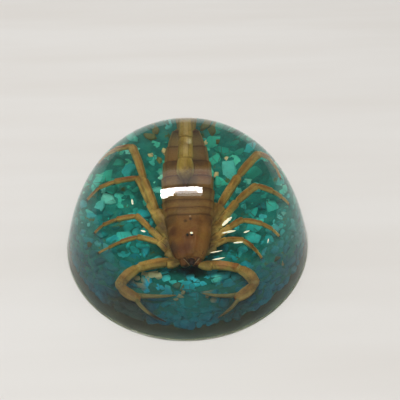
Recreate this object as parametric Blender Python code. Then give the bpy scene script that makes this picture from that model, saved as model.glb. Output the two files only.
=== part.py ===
"""Scorpion sealed in a clear resin dome, lying on a bed of crushed turquoise stone.

Metres, +Z up. The flat foot lies on z = 0 with its centre at the origin.
The scorpion's head points to -Y and its tail is curled up over its back.
Lists of positions along the specimen are in millimetres.
"""
import math
import random

import bmesh
import bpy
from mathutils import Vector
from mathutils.geometry import interpolate_bezier

MM = 0.001

# The casting
DOME_RADIUS = 0.0351
DOME_HEIGHT = 0.0322
WALL_LEAN = math.radians(17)     # how far the wall leans in where it meets the foot
WALL_PULL = 0.0191               # handle of the wall's curve at the foot
CROWN_PULL = 0.0209              # handle of the wall's curve at the crown
FOOT_ROUND = 0.0005              # rounding of the foot's lower edge
BASE_HEIGHT = 0.0012             # the parting plane
GAP = 0.0003                     # clearance between pieces that touch
DOME_SEGMENTS = 56
DOME_RINGS = 11

# The stones
BED_RADIUS = 0.0320
BED_FLOOR = BASE_HEIGHT + GAP
BED_GROOVE = 0.0023              # height of the grooves between two chips
BED_TIPS = 0.0035                # height of the highest chip
CHIP_SPACING = 0.0049
CHIP_MARGIN = 0.00035            # width of a chip's broken edge
CHIP_TILT = 0.2                  # steepest slope of a chip, as rise over run
BED_RIM_SIDES = 48

# The pocket
POCKET_ROOM = 0.0008             # free space round the specimen
BED_ROOM = 0.0004                # free space over and beside the stones

# The trunk, tail end to head: place along Y, half width, top and underside, in mm
TRUNK = (
    (19.3, 2.0, 7.3, 5.0),
    (18.4, 2.7, 7.7, 4.7),
    (15.6, 3.8, 8.4, 4.4),
    (11.6, 4.6, 8.9, 4.2),
    (5.6, 5.2, 9.3, 4.1),
    (0.0, 5.15, 9.4, 4.1),
    (-4.2, 4.6, 9.1, 4.1),
    (-8.2, 4.2, 8.7, 4.1),
    (-11.0, 3.6, 8.0, 4.2),
    (-12.5, 2.95, 7.35, 4.6),
    (-13.1, 2.5, 6.9, 5.0),
)
TRUNK_X = 0.25                   # mm, the trunk's axis
TRUNK_SIDES = 16
TRUNK_SQUARENESS = 0.85          # under 1 flattens the back and the flanks
TERGITES = 7
TERGITE_STEP = 0.045             # how far each plate's rear edge stands out, as a share
CARAPACE_REAR = -3.45            # mm, where the carapace meets the first plate
PLATE_CROWDING = 1.35            # how much shorter the front plates are than the rear ones
LAST_PLATE_REAR = 18.4           # mm, the rear edge of the last plate
EYE_MOUND = (0.35, -8.5, 8.85)   # mm, the pair of middle eyes

# The tail from the last plate to the sting, in mm, with each joint's half width and half depth
TAIL_JOINTS = ((0.4, 18.0, 6.2), (0.4, 22.4, 8.4), (0.4, 23.0, 13.4), (0.4, 18.2, 16.4),
               (0.25, 12.5, 15.4), (0.0, 7.3, 13.8))
TAIL_GIRTHS = ((2.0, 1.75), (1.85, 1.7), (1.75, 1.65), (1.55, 1.55), (1.65, 1.5))
TAIL_SIDES = 10
TAIL_KEEL = 0.05                 # how far the keels stand out, as a share
STING_PATH = ((-0.05, 7.4, 13.8), (-0.1, 6.2, 13.4), (-0.15, 4.8, 12.9), (-0.2, 3.4, 12.4),
              (-0.2, 2.2, 11.8), (-0.2, 1.4, 11.1), (-0.2, 1.2, 10.3))
STING_GIRTHS = (0.9, 1.65, 1.85, 1.5, 0.55, 0.35, 0.1)

# Leg joints from the trunk to the claw tip, in mm. A name holds the side of the picture and the
# pair, from the head: the specimen's own right side is on the left.
LEGS = {
    "left_1": ((-2.4, -11.0, 5.0), (-4.2, -9.9, 5.2), (-5.9, -8.0, 6.0), (-10.1, -6.8, 6.6),
               (-13.6, -7.1, 5.6), (-16.3, -8.0, 4.8), (-19.0, -9.2, 4.25)),
    "left_2": ((-3.0, -8.6, 5.0), (-5.0, -7.2, 5.3), (-7.4, -4.9, 6.4), (-10.1, -1.9, 7.2),
               (-13.9, -1.5, 6.0), (-16.8, -1.9, 4.9), (-18.9, -3.4, 4.25)),
    "left_3": ((-3.2, -6.2, 5.0), (-5.4, -3.2, 5.4), (-7.4, 1.6, 6.2), (-9.5, 7.6, 6.6),
               (-13.6, 7.9, 5.6), (-16.4, 7.4, 4.8), (-19.4, 5.2, 4.25)),
    "left_4": ((-3.0, -5.0, 5.2), (-6.0, -0.6, 6.2), (-8.4, 6.2, 7.6), (-10.5, 14.3, 8.2),
               (-12.6, 14.8, 6.3), (-14.4, 14.5, 4.9), (-16.0, 13.4, 4.3)),
    "right_1": ((2.4, -10.6, 5.0), (4.9, -8.7, 5.2), (7.6, -7.8, 6.0), (11.2, -8.7, 6.6),
                (13.1, -9.6, 5.4), (14.3, -10.7, 4.8), (15.4, -12.1, 4.25)),
    "right_2": ((3.0, -8.4, 5.0), (5.9, -6.4, 5.4), (8.5, -5.1, 6.6), (11.0, -3.8, 7.2),
                (15.0, -3.9, 6.0), (17.2, -4.6, 4.9), (19.1, -6.2, 4.25)),
    "right_3": ((3.2, -6.2, 5.0), (6.2, -3.4, 5.5), (9.8, 0.8, 6.9), (13.9, 4.5, 7.5),
                (16.8, 4.4, 6.0), (18.8, 3.7, 4.9), (20.9, 2.4, 4.25)),
    "right_4": ((3.2, -5.0, 5.2), (6.4, 0.2, 6.4), (10.4, 6.4, 7.6), (14.4, 12.0, 8.2),
                (16.0, 12.2, 6.3), (17.2, 10.8, 4.9), (18.0, 8.9, 4.3)),
}
LEG_GIRTHS = ((1.3, 1.2), (0.8, 0.9), (0.74, 0.85), (0.62, 0.72), (0.48, 0.55), (0.34, 0.38))
LEG_SHARES = (0.8, 0.87, 0.93, 1.0)     # how stout each pair is, from the head
LEG_SIDES = 6

# Pincer joints: root, elbow, wrist and knuckle, then the two finger tips with their bows, in mm
PINCERS = {
    "left": {
        "arm": ((-2.0, -13.3, 5.7), (-10.3, -14.5, 5.5), (-15.8, -20.1, 5.2), (-11.6, -23.8, 5.1)),
        "fixed": ((-7.4, -23.3, 4.9), (-3.0, -22.3, 4.6)),
        "moving": ((-11.9, -28.4, 4.9), (-5.8, -31.6, 4.3)),
    },
    "right": {
        "arm": ((2.0, -14.2, 5.7), (10.4, -15.4, 5.5), (15.2, -21.1, 5.2), (10.5, -24.9, 5.1)),
        "fixed": ((6.8, -24.2, 4.9), (2.6, -22.0, 4.6)),
        "moving": ((10.6, -28.0, 4.9), (6.4, -30.9, 4.4)),
    },
}
ARM_GIRTHS = ((1.05, 1.1), (1.3, 1.2), (1.6, 1.25))
ARM_BOW = 0.55                   # mm, how far each pincer joint bows outwards
FINGER_GIRTHS = (0.75, 0.62, 0.55, 0.48, 0.38, 0.18)
ARM_SIDES = 8
FINGER_SIDES = 6

# The pair of jaws in front of the carapace, in mm
JAWS = (((-0.95, -12.2, 6.1), (-0.7, -14.2, 5.8)), ((1.6, -12.2, 6.1), (1.5, -14.2, 5.8)))
JAW_GIRTH = (1.05, 0.9)


def clear_scene():
    for item in list(bpy.data.objects):
        bpy.data.objects.remove(item, do_unlink=True)


def finish(name, colour, roughness, clear=0.0, ior=1.5):
    material = bpy.data.materials.new(name)
    material.use_nodes = True
    shader = material.node_tree.nodes["Principled BSDF"]
    shader.inputs["Base Color"].default_value = (*colour, 1.0)
    shader.inputs["Roughness"].default_value = roughness
    shader.inputs["Metallic"].default_value = 0.0
    shader.inputs["Transmission Weight"].default_value = clear
    shader.inputs["IOR"].default_value = ior
    return material


def add_object(name, mesh_data, material=None):
    mesh = bpy.data.meshes.new(name)
    mesh_data.to_mesh(mesh)
    mesh_data.free()
    piece = bpy.data.objects.new(name, mesh)
    bpy.context.collection.objects.link(piece)
    if material:
        mesh.materials.append(material)
    return piece


def as_cutter(piece):
    piece.hide_render = True
    piece.display_type = 'WIRE'
    return piece


def apply_boolean(piece, operation, operand=None, collection=None):
    """Cut or join a piece with one operand or with a whole collection of them."""
    cut = piece.modifiers.new(operation.lower(), 'BOOLEAN')
    cut.operation = operation
    cut.solver = 'EXACT'
    if collection:
        cut.operand_type = 'COLLECTION'
        cut.collection = collection
    else:
        cut.object = operand
    graph = bpy.context.evaluated_depsgraph_get()
    result = bpy.data.meshes.new_from_object(piece.evaluated_get(graph))
    piece.modifiers.remove(cut)
    piece.data = result


def turned(profile, segments):
    """A solid of revolution about Z from (radius, height) points that start and end on the axis."""
    solid = bmesh.new()
    points = [solid.verts.new((radius, 0, height)) for radius, height in profile]
    edges = [solid.edges.new(pair) for pair in zip(points, points[1:])]
    bmesh.ops.spin(solid, geom=points + edges, cent=(0, 0, 0), axis=(0, 0, 1),
                   angle=math.tau, steps=segments)
    bmesh.ops.remove_doubles(solid, verts=solid.verts, dist=1e-6)
    bmesh.ops.recalc_face_normals(solid, faces=solid.faces)
    return solid


def wall_curve(steps):
    """The dome's outline from the foot's edge to the crown, as (radius, height)."""
    foot = Vector((DOME_RADIUS, 0, 0))
    wall_handle = foot + WALL_PULL * Vector((-math.sin(WALL_LEAN), math.cos(WALL_LEAN), 0))
    crown = Vector((0, DOME_HEIGHT, 0))
    crown_handle = crown + Vector((CROWN_PULL, 0, 0))
    curve = interpolate_bezier(foot, wall_handle, crown_handle, crown, steps)
    return [(point.x, point.y) for point in curve]


def wall_radius(height):
    outline = wall_curve(400)
    for (r0, z0), (r1, z1) in zip(outline, outline[1:]):
        if z0 <= height <= z1:
            return r0 + (r1 - r0) * (height - z0) / (z1 - z0)
    return 0.0


def base_profile():
    corner = [(wall_radius(FOOT_ROUND) - FOOT_ROUND * (1 - math.sin(turn)),
               FOOT_ROUND * (1 - math.cos(turn)))
              for turn in (0.0, math.pi / 4, math.pi / 2)]
    return [(0, 0)] + corner + [(wall_radius(BASE_HEIGHT), BASE_HEIGHT), (0, BASE_HEIGHT)]


def dome_profile():
    parting = BASE_HEIGHT + GAP
    outline = wall_curve(DOME_RINGS + 1)
    upper = [(radius, height) for radius, height in outline if height > parting + GAP]
    upper[-1] = (0, DOME_HEIGHT)
    return [(0, parting), (wall_radius(parting), parting)] + upper


def blend(stations, place):
    """The values of a station table, read between two of its stations."""
    for first, second in zip(stations, stations[1:]):
        low, high = sorted((first[0], second[0]))
        if low <= place <= high:
            share = (place - first[0]) / (second[0] - first[0])
            return [a + (b - a) * share for a, b in zip(first[1:], second[1:])]
    return list(stations[-1][1:])


def close_rings(solid, rings):
    for ring, following in zip(rings, rings[1:]):
        for index, corner in enumerate(ring):
            beside = (index + 1) % len(ring)
            solid.faces.new((corner, ring[beside], following[beside], following[index]))
    solid.faces.new(rings[0])
    solid.faces.new(rings[-1])
    bmesh.ops.recalc_face_normals(solid, faces=solid.faces)
    return solid


def limb(path, girths, sides, across=None, keel=0.0):
    """A closed body of oval rings along a path; path and girths are in mm."""
    solid = bmesh.new()
    rings = []
    for index, centre in enumerate(path):
        before = Vector(path[max(index - 1, 0)])
        after = Vector(path[min(index + 1, len(path) - 1)])
        forward = (after - before).normalized()
        side = Vector(across) if across else forward.cross(Vector((0, 0, 1))).normalized()
        up = side.cross(forward).normalized()
        half_width, half_depth = girths[index]
        ring = []
        for step in range(sides):
            turn = math.tau * (step + 0.5) / sides
            swell = 1 + keel * (1 if step % 2 else -1)
            offset = side * half_width * math.cos(turn) + up * half_depth * math.sin(turn)
            ring.append(solid.verts.new((Vector(centre) + offset * swell) * MM))
        rings.append(ring)
    return close_rings(solid, rings)


def bone(start, end, girth, sides, across=None, keel=0.0, bow=None, overlap=0.35):
    """One limb joint, thinner at both ends, which reaches into its neighbours."""
    start, end = Vector(start), Vector(end)
    reach = (end - start).normalized() * overlap * girth[0]
    start, end = start - reach, end + reach
    shares = ((0.0, 0.6), (0.16, 0.92), (0.84, 1.0), (1.0, 0.72))
    if bow:
        shares = shares[:2] + ((0.5, 1.0),) + shares[2:]
    bend = Vector(bow or (0, 0, 0))
    path = [start.lerp(end, share) + bend * 4 * share * (1 - share) for share, _ in shares]
    girths = [(girth[0] * swell, girth[1] * swell) for _, swell in shares]
    return limb(path, girths, sides, across, keel)


def trunk_ring(solid, place, swell=1.0):
    half_width, top, underside = blend(TRUNK, place)
    middle = underside + (top - underside) * 0.42
    ring = []
    for step in range(TRUNK_SIDES):
        turn = math.tau * (step + 0.5) / TRUNK_SIDES
        across, rise = (math.copysign(abs(value) ** TRUNK_SQUARENESS, value)
                        for value in (math.cos(turn), math.sin(turn)))
        height = (top - middle) if rise > 0 else (middle - underside)
        x = TRUNK_X + half_width * swell * across
        z = middle + height * swell * rise
        ring.append(solid.verts.new(Vector((x, place, z)) * MM))
    return ring


def trunk():
    """The overlapping plates of the back and the carapace, as one body."""
    solid = bmesh.new()
    rings = [trunk_ring(solid, TRUNK[0][0]), trunk_ring(solid, LAST_PLATE_REAR + 0.3)]
    edges = [CARAPACE_REAR + (LAST_PLATE_REAR - CARAPACE_REAR) * (index / TERGITES) ** PLATE_CROWDING
             for index in range(TERGITES + 1)]
    for plate in reversed(range(TERGITES)):
        plate_front, plate_rear = edges[plate], edges[plate + 1]
        length = plate_rear - plate_front
        rings.append(trunk_ring(solid, plate_rear - 0.12, 1 + TERGITE_STEP))
        rings.append(trunk_ring(solid, plate_rear - 0.5 * length, 1 + 0.4 * TERGITE_STEP))
        rings.append(trunk_ring(solid, plate_front + 0.1, 1 - 0.4 * TERGITE_STEP))
    for place in (-3.6, -5.6, -8.0, -10.2, -11.6, -12.5, TRUNK[-1][0]):
        rings.append(trunk_ring(solid, place))
    return close_rings(solid, rings)


def tail_bones():
    for start, end, girth in zip(TAIL_JOINTS, TAIL_JOINTS[1:], TAIL_GIRTHS):
        yield bone(start, end, girth, TAIL_SIDES, (1, 0, 0), TAIL_KEEL)
    yield limb(STING_PATH, [(girth, girth) for girth in STING_GIRTHS], 8, (1, 0, 0))


def finger(root, bow, tip):
    start = Vector(root)
    curve = interpolate_bezier(start, start.lerp(Vector(bow), 0.67),
                               Vector(tip).lerp(Vector(bow), 0.67), Vector(tip),
                               len(FINGER_GIRTHS))
    return limb(curve, [(girth, girth) for girth in FINGER_GIRTHS], FINGER_SIDES)


def outward_bow(start, end, centre=(0, -20, 0)):
    """A sideways bow of an arm joint, away from the space that the two arms enclose."""
    along = Vector(end) - Vector(start)
    aside = along.cross(Vector((0, 0, 1))).normalized()
    middle = (Vector(start) + Vector(end)) / 2
    return aside * math.copysign(ARM_BOW, aside.dot(middle - Vector(centre)))


def pincer_bones(joints):
    arm = joints["arm"]
    for start, end, girth in zip(arm, arm[1:], ARM_GIRTHS):
        yield bone(start, end, girth, ARM_SIDES, bow=outward_bow(start, end))
    palm = Vector(arm[2]).lerp(Vector(arm[3]), 0.8)
    yield finger(palm, *joints["fixed"])
    yield finger(palm, *joints["moving"])


def leg_bones(name, joints):
    share = LEG_SHARES[int(name[-1]) - 1]
    for start, end, girth in zip(joints, joints[1:], LEG_GIRTHS):
        yield bone(start, end, (girth[0] * share, girth[1] * share), LEG_SIDES)


def eye_mound():
    mound = bmesh.new()
    bmesh.ops.create_icosphere(mound, subdivisions=1, radius=1.0)
    for corner in mound.verts:
        corner.co = (corner.co * 0.75 + Vector(EYE_MOUND)) * MM
    return mound


def specimen_parts():
    yield from tail_bones()
    for name, joints in LEGS.items():
        yield from leg_bones(name, joints)
    for joints in PINCERS.values():
        yield from pincer_bones(joints)
    for start, end in JAWS:
        yield bone(start, end, JAW_GIRTH, LEG_SIDES)
    yield eye_mound()


def make_scorpion(material):
    body = add_object("scorpion", trunk(), material)
    limbs = bpy.data.collections.new("limbs")
    bpy.context.scene.collection.children.link(limbs)
    for index, solid in enumerate(specimen_parts()):
        piece = add_object(f"limb_{index}", solid)
        bpy.context.collection.objects.unlink(piece)
        limbs.objects.link(piece)
    apply_boolean(body, 'UNION', collection=limbs)
    for piece in list(limbs.objects):
        bpy.data.objects.remove(piece, do_unlink=True)
    bpy.data.collections.remove(limbs)
    body.data.shade_smooth()
    body.data.set_sharp_from_angle(angle=math.radians(35))
    return body


def chip_centres():
    """Shuffled rows of places over the bed, the same on each run."""
    shuffle = random.Random(7)
    row_step = CHIP_SPACING * math.sqrt(3) / 2
    rows = int(BED_RADIUS / row_step) + 1
    centres = []
    for row in range(-rows, rows + 1):
        for column in range(-rows, rows + 1):
            x = (column + 0.5 * (row % 2)) * CHIP_SPACING + shuffle.uniform(-0.3, 0.3) * CHIP_SPACING
            y = row * row_step + shuffle.uniform(-0.3, 0.3) * CHIP_SPACING
            if math.hypot(x, y) < BED_RADIUS - 0.3 * CHIP_SPACING:
                centres.append(Vector((x, y)))
    return centres


def clip(outline, middle, normal):
    """The part of a flat outline on the inner side of a line."""
    kept = []
    for start, end in zip(outline, outline[1:] + outline[:1]):
        depth_start = (start - middle).dot(normal)
        depth_end = (end - middle).dot(normal)
        if depth_start <= 0:
            kept.append(start)
        if (depth_start < 0 < depth_end) or (depth_end < 0 < depth_start):
            kept.append(start.lerp(end, depth_start / (depth_start - depth_end)))
    return kept


def chip_outline(centre, centres):
    """The ground that is nearer to one chip than to any other, inside the bed's rim."""
    turns = [math.tau * step / BED_RIM_SIDES for step in range(BED_RIM_SIDES)]
    outline = [Vector((math.cos(turn), math.sin(turn))) * BED_RADIUS for turn in turns]
    for other in centres:
        if other is not centre and (other - centre).length < 4 * CHIP_SPACING:
            outline = clip(outline, (centre + other) / 2, other - centre)
    return outline


def make_stone_bed(material):
    """A slab whose top is broken into flat tilted chips with grooves between them."""
    shuffle = random.Random(11)
    bed = bmesh.new()
    centres = chip_centres()
    for centre in centres:
        outline = chip_outline(centre, centres)
        bed.faces.new([bed.verts.new((point.x, point.y, BED_GROOVE)) for point in outline])
    bmesh.ops.remove_doubles(bed, verts=bed.verts, dist=2e-5)
    rim_edges = [edge for edge in bed.edges if len(edge.link_faces) == 1]
    lowered = bmesh.ops.extrude_edge_only(bed, edges=rim_edges)["geom"]
    for corner in (item for item in lowered if isinstance(item, bmesh.types.BMVert)):
        corner.co.z = BED_FLOOR
    foot_edges = [item for item in lowered if isinstance(item, bmesh.types.BMEdge)]
    bmesh.ops.contextual_create(bed, geom=foot_edges)
    bmesh.ops.recalc_face_normals(bed, faces=bed.faces)
    tops = [face for face in bed.faces if face.normal.z > 0.9]
    bmesh.ops.inset_individual(bed, faces=tops, thickness=CHIP_MARGIN, use_even_offset=True)
    for top in tops:
        lift = shuffle.uniform(0.45, 0.8) * (BED_TIPS - BED_GROOVE)
        slope = Vector((shuffle.uniform(-1, 1), shuffle.uniform(-1, 1), 0)) * CHIP_TILT
        middle = top.calc_center_median()
        for corner in top.verts:
            rise = lift + slope.dot(corner.co - middle)
            corner.co.z = min(BED_GROOVE + max(rise, 0.1 * MM), BED_TIPS)
    return add_object("stone_bed", bed, material)


def hull_of(points):
    """The tightest convex room that holds every (place, clearance) given, in mm."""
    bead = bmesh.new()
    bmesh.ops.create_icosphere(bead, subdivisions=1, radius=1.0)
    room = bmesh.new()
    for place, clearance in points:
        for corner in bead.verts:
            room.verts.new((Vector(place) + corner.co * clearance) * MM)
    bead.free()
    hull = bmesh.ops.convex_hull(room, input=room.verts)
    inside = {item for key in ("geom_interior", "geom_unused") for item in hull[key]
              if isinstance(item, bmesh.types.BMVert)}
    bmesh.ops.delete(room, geom=list(inside), context='VERTS')
    bmesh.ops.recalc_face_normals(room, faces=room.faces)
    return room


def limb_room():
    free = POCKET_ROOM / MM
    points = []
    for joints in LEGS.values():
        for place, girth in zip(joints[1:], LEG_GIRTHS):
            points.append((place, girth[1] + free))
    for joints in PINCERS.values():
        for place in joints["arm"][1:]:
            points.append((place, ARM_GIRTHS[-1][0] + free))
        for name in ("fixed", "moving"):
            points.append((joints[name][1], FINGER_GIRTHS[2] + free))
        bow, tip = (Vector(place) for place in joints["moving"])
        middle = (Vector(joints["arm"][3]) + tip) / 4 + bow / 2
        points.append((middle, FINGER_GIRTHS[2] + free))
    return hull_of(points)


def body_room():
    free = POCKET_ROOM / MM
    points = [((x, y, 6.5), 1.2 + free) for x in (-3.0, 3.8) for y in (-12.0, 12.0)]
    points += [((x, y, 6.0), 1.4 + free) for x in (-1.9, 2.7) for y in (13.0, 18.2)]
    points += [(EYE_MOUND, 0.75 + free)]
    points += [(place, girth[0] + free) for place, girth in zip(TAIL_JOINTS[1:], TAIL_GIRTHS)]
    points += [((x, y, 7.6), 1.6 + free) for x in (-3.9, 4.7) for y in (-6.0, 8.0)]
    return hull_of(points)


def bed_room():
    reach = BED_RADIUS + BED_ROOM
    top = BED_TIPS + BED_ROOM
    below = BASE_HEIGHT - GAP
    return turned([(0, below), (reach, below), (reach, top), (0, top)], DOME_SEGMENTS)


def make_resin(material):
    """The casting's two halves; the upper one has a pocket that is open at the parting plane."""
    base = add_object("resin_base", turned(base_profile(), DOME_SEGMENTS), material)
    dome = add_object("resin_dome", turned(dome_profile(), DOME_SEGMENTS), material)
    for name, room in (("bed_room", bed_room()), ("limb_room", limb_room()),
                       ("body_room", body_room())):
        cutter = as_cutter(add_object(name, room))
        apply_boolean(dome, 'DIFFERENCE', operand=cutter)
        bpy.data.objects.remove(cutter, do_unlink=True)
    for half in (base, dome):
        half.data.shade_smooth()
        half.data.set_sharp_from_angle(angle=math.radians(30))


def main():
    clear_scene()
    resin = finish("clear_resin", (0.97, 0.97, 0.94), 0.03, clear=1.0, ior=1.54)
    cuticle = finish("scorpion_cuticle", (0.33, 0.19, 0.07), 0.45)
    stone = finish("turquoise_chips", (0.05, 0.30, 0.27), 0.55)
    make_resin(resin)
    make_stone_bed(stone)
    make_scorpion(cuticle)


main()
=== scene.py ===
import random
from math import copysign, cos, exp, pi, radians, sin, tau

import bmesh
import bpy
from mathutils import Matrix, Vector, noise
from mathutils.geometry import interpolate_bezier


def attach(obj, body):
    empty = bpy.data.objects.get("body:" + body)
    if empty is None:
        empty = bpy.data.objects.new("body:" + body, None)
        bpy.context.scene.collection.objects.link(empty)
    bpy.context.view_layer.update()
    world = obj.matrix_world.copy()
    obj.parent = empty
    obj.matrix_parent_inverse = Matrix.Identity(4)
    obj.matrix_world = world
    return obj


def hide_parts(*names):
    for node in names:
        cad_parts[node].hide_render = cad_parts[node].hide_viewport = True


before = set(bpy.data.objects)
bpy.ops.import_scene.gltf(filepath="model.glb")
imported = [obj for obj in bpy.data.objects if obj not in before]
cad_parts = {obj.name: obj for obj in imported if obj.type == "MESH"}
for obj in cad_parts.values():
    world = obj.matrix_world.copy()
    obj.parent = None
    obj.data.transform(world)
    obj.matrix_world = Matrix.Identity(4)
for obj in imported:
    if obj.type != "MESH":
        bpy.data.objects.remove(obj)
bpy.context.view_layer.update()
mm = 0.001
upward = Vector((0, 0, 1))
marks = ("joint", "pale", "grain")       # what each corner of the specimen tells its finish
print("frame loaded:", sorted(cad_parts))


def tint(red, green, blue):
    # a colour given in screen values, 0 to 255, turned into the linear value that shaders take
    linear = [(c / 255 / 12.92) if c <= 10 else ((c / 255 + 0.055) / 1.055) ** 2.4 for c in (red, green, blue)]
    return (*linear, 1.0)


class Web:
    # writes nodes into one tree and gives back the new node's socket; a colour of three numbers is a tint

    def __init__(self, tree):
        self.tree = tree

    def feed(self, socket, value):
        if isinstance(value, bpy.types.NodeSocket):
            self.tree.links.new(value, socket)
        elif socket.type == 'RGBA' and len(value) == 3:
            socket.default_value = tint(*value)
        else:
            socket.default_value = value

    def put(self, kind, sockets=None, out=0, **options):
        node = self.tree.nodes.new(kind)
        for key, value in options.items():
            setattr(node, key, value)
        for key, value in (sockets or {}).items():
            self.feed(node.inputs[key], value)
        return node if out is None else node.outputs[out]

    def geo(self, kind, sockets=None, out=0, **options):
        return self.put("GeometryNode" + kind, sockets, out, **options)

    def node(self, kind, sockets=None, out=0, **options):
        return self.put("ShaderNode" + kind, sockets, out, **options)

    def mix(self, share, first, second, blend='MIX'):
        return self.node("Mix", {0: share, 6: first, 7: second}, 2, data_type='RGBA', blend_type=blend)

    def calc(self, first, second=0.0, operation='MULTIPLY', clamp=False):
        return self.node("Math", {0: first, 1: second}, operation=operation, use_clamp=clamp)

    def spread(self, value, low, high, newLow=0.0, newHigh=1.0):
        return self.node("MapRange", {0: value, 1: low, 2: high, 3: newLow, 4: newHigh})

    def ramp(self, value, stops):
        # stops of place, red, green, blue
        node = self.node("ValToRGB", {0: value}, None)
        ends = node.color_ramp.elements
        for end, (place, *colour) in ((ends[0], stops[0]), (ends[1], stops[-1])):
            end.position, end.color = place, tint(*colour)
        for place, *colour in stops[1:-1]:
            ends.new(place).color = tint(*colour)
        return node.outputs[0]

    def grain(self, place, scale, detail=3.0, roughness=0.55, distortion=0.0):
        return self.node("TexNoise", {"Vector": place, "Scale": scale, "Detail": detail, "Roughness": roughness,
                                      "Distortion": distortion})

    def cells(self, place, scale, feature='F1'):
        return self.node("TexVoronoi", {"Vector": place, "Scale": scale}, "Distance", feature=feature)

    def marked(self, name):
        return self.node("Attribute", None, "Fac", attribute_name=name)

    def carried(self, name):
        return self.geo("InputNamedAttribute", {"Name": name}, data_type='FLOAT')

    def away(self, place, spot):
        return self.node("VectorMath", {0: place, 1: Vector(spot) * mm}, "Value", operation='DISTANCE')

    def xyz(self, x=0.0, y=0.0, z=0.0):
        return self.node("CombineXYZ", {0: x, 1: y, 2: z})

    def parts(self, vector):
        return self.node("SeparateXYZ", {0: vector}, None).outputs

    def relief(self, height, strength, distance, under=None):
        sockets = {"Height": height, "Strength": strength, "Distance": distance}
        return self.node("Bump", sockets if under is None else dict(sockets, Normal=under))

    def chance(self, low, high, seed, kind='FLOAT'):
        first, out = (0, 0) if kind == 'FLOAT_VECTOR' else (2, 1)
        return self.put("FunctionNodeRandomValue", {first: low, first + 1: high, "Seed": seed}, out, data_type=kind)

    def dress(self, **values):
        names = {"colour": "Base Color", "roughness": "Roughness", "normal": "Normal",
                 "specular": "Specular IOR Level"}
        inputs = self.tree.nodes["Principled BSDF"].inputs
        for key, value in values.items():
            self.feed(inputs[names.get(key, key)], value)


def newFinish(name):
    material = bpy.data.materials.new(name)
    material.use_nodes = True
    web = Web(material.node_tree)
    return material, web, web.node("TexCoord", None, "Object")


def stained(web, colour, place, patches, core=0.5, ragged=None, only=None):
    # lays patches over a colour, each with its place and reach in mm, its own colour and its share
    for spot, reach, stain, share in patches:
        away = web.away(place, spot)
        if ragged is not None:
            away = web.calc(away, web.calc(ragged, reach * mm), 'ADD')
        near = web.spread(away, reach * mm, core * reach * mm, 0.0, share)
        if only is not None:
            near = web.calc(near, only)
        colour = web.mix(near, colour, stain)
    return colour


def turnsOf(sides, start=0.0):
    # the angle, cosine and sine of each corner of a ring
    angles = [tau * (step + start) / sides for step in range(sides)]
    return [(angle, cos(angle), sin(angle)) for angle in angles]


def newStock():
    # what a piece is gathered in: its corners with their marks, and its faces
    return {key: [] for key in ("points", "faces", *marks)}


def addPoint(stock, place, *values):
    stock["points"].append(Vector(place) * mm)
    for key, value in zip(marks, values):
        stock[key].append(value)
    return len(stock["points"]) - 1


def addTube(stock, rings):
    # rings of (place, joint, pale, grain), closed at both ends by a low fan
    rows = [[addPoint(stock, *corner) for corner in ring] for ring in rings]
    pairs = [(index, (index + 1) % len(rows[0])) for index in range(len(rows[0]))]
    for row, after in zip(rows, rows[1:]):
        stock["faces"] += [(row[a], row[b], after[b], after[a]) for a, b in pairs]
    for ring, row in ((rings[0], rows[0]), (rings[-1], rows[-1])):
        middle = sum((corner[0] for corner in ring), Vector()) / len(ring)
        hub = addPoint(stock, middle, *ring[0][1:])
        stock["faces"] += [(row[a], row[b], hub) for a, b in pairs]


def setInScene(name, data):
    thing = bpy.data.objects.new(name, data)
    bpy.context.scene.collection.objects.link(thing)
    return thing


def turnOutward(mesh, worn=0.0):
    shape = bmesh.new()
    shape.from_mesh(mesh)
    if worn:
        bmesh.ops.dissolve_degenerate(shape, dist=worn, edges=shape.edges)
    bmesh.ops.recalc_face_normals(shape, faces=shape.faces)
    shape.to_mesh(mesh)
    shape.free()


def smoothUpTo(mesh, angle):
    mesh.shade_smooth()
    mesh.set_sharp_from_angle(angle=radians(angle))


def makePiece(name, stock, material, angle=40):
    mesh = bpy.data.meshes.new(name)
    mesh.from_pydata(stock["points"], [], stock["faces"])
    for key in marks:
        mesh.attributes.new(key, 'FLOAT', 'POINT').data.foreach_set("value", stock[key])
    turnOutward(mesh)
    smoothUpTo(mesh, angle)
    mesh.materials.append(material)
    return setInScene(name, mesh)


def belongs(piece, slot, *nodes):
    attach(piece, "root")
    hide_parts(*nodes)


def ofScorpion(piece):
    belongs(piece, "scorpion_cuticle", "scorpion")
    return piece


def linesMesh(name, lines):
    points, edges = [], []
    for line in lines:
        edges += [(len(points) + i, len(points) + i + 1) for i in range(len(line) - 1)]
        points += [Vector(place) * mm for place in line]
    mesh = bpy.data.meshes.new(name)
    mesh.from_pydata(points, edges, [])
    return mesh


socketKinds = ((bool, "Bool"), (int, "Int"), (float, "Float"), (bpy.types.Material, "Material"),
               (bpy.types.Collection, "Collection"))


def drawTree(plan, values):
    # a geometry tree with one named input for each value
    tree = bpy.data.node_groups.new(plan.__name__, 'GeometryNodeTree')
    tree.is_modifier = True
    for way in ('INPUT', 'OUTPUT'):
        tree.interface.new_socket("Geometry", in_out=way, socket_type='NodeSocketGeometry')
    for label, value in values.items():
        kind = next(kind for sort, kind in socketKinds if isinstance(value, sort))
        tree.interface.new_socket(label, in_out='INPUT', socket_type="NodeSocket" + kind)
    web = Web(tree)
    given = web.put("NodeGroupInput", None, None).outputs
    whole = web.geo("RealizeInstances", {0: plan(web, given)})
    dressed = web.geo("SetMaterial", {"Geometry": whole, "Material": given["Material"]})
    web.put("NodeGroupOutput", {0: dressed}, None)
    return tree


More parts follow.
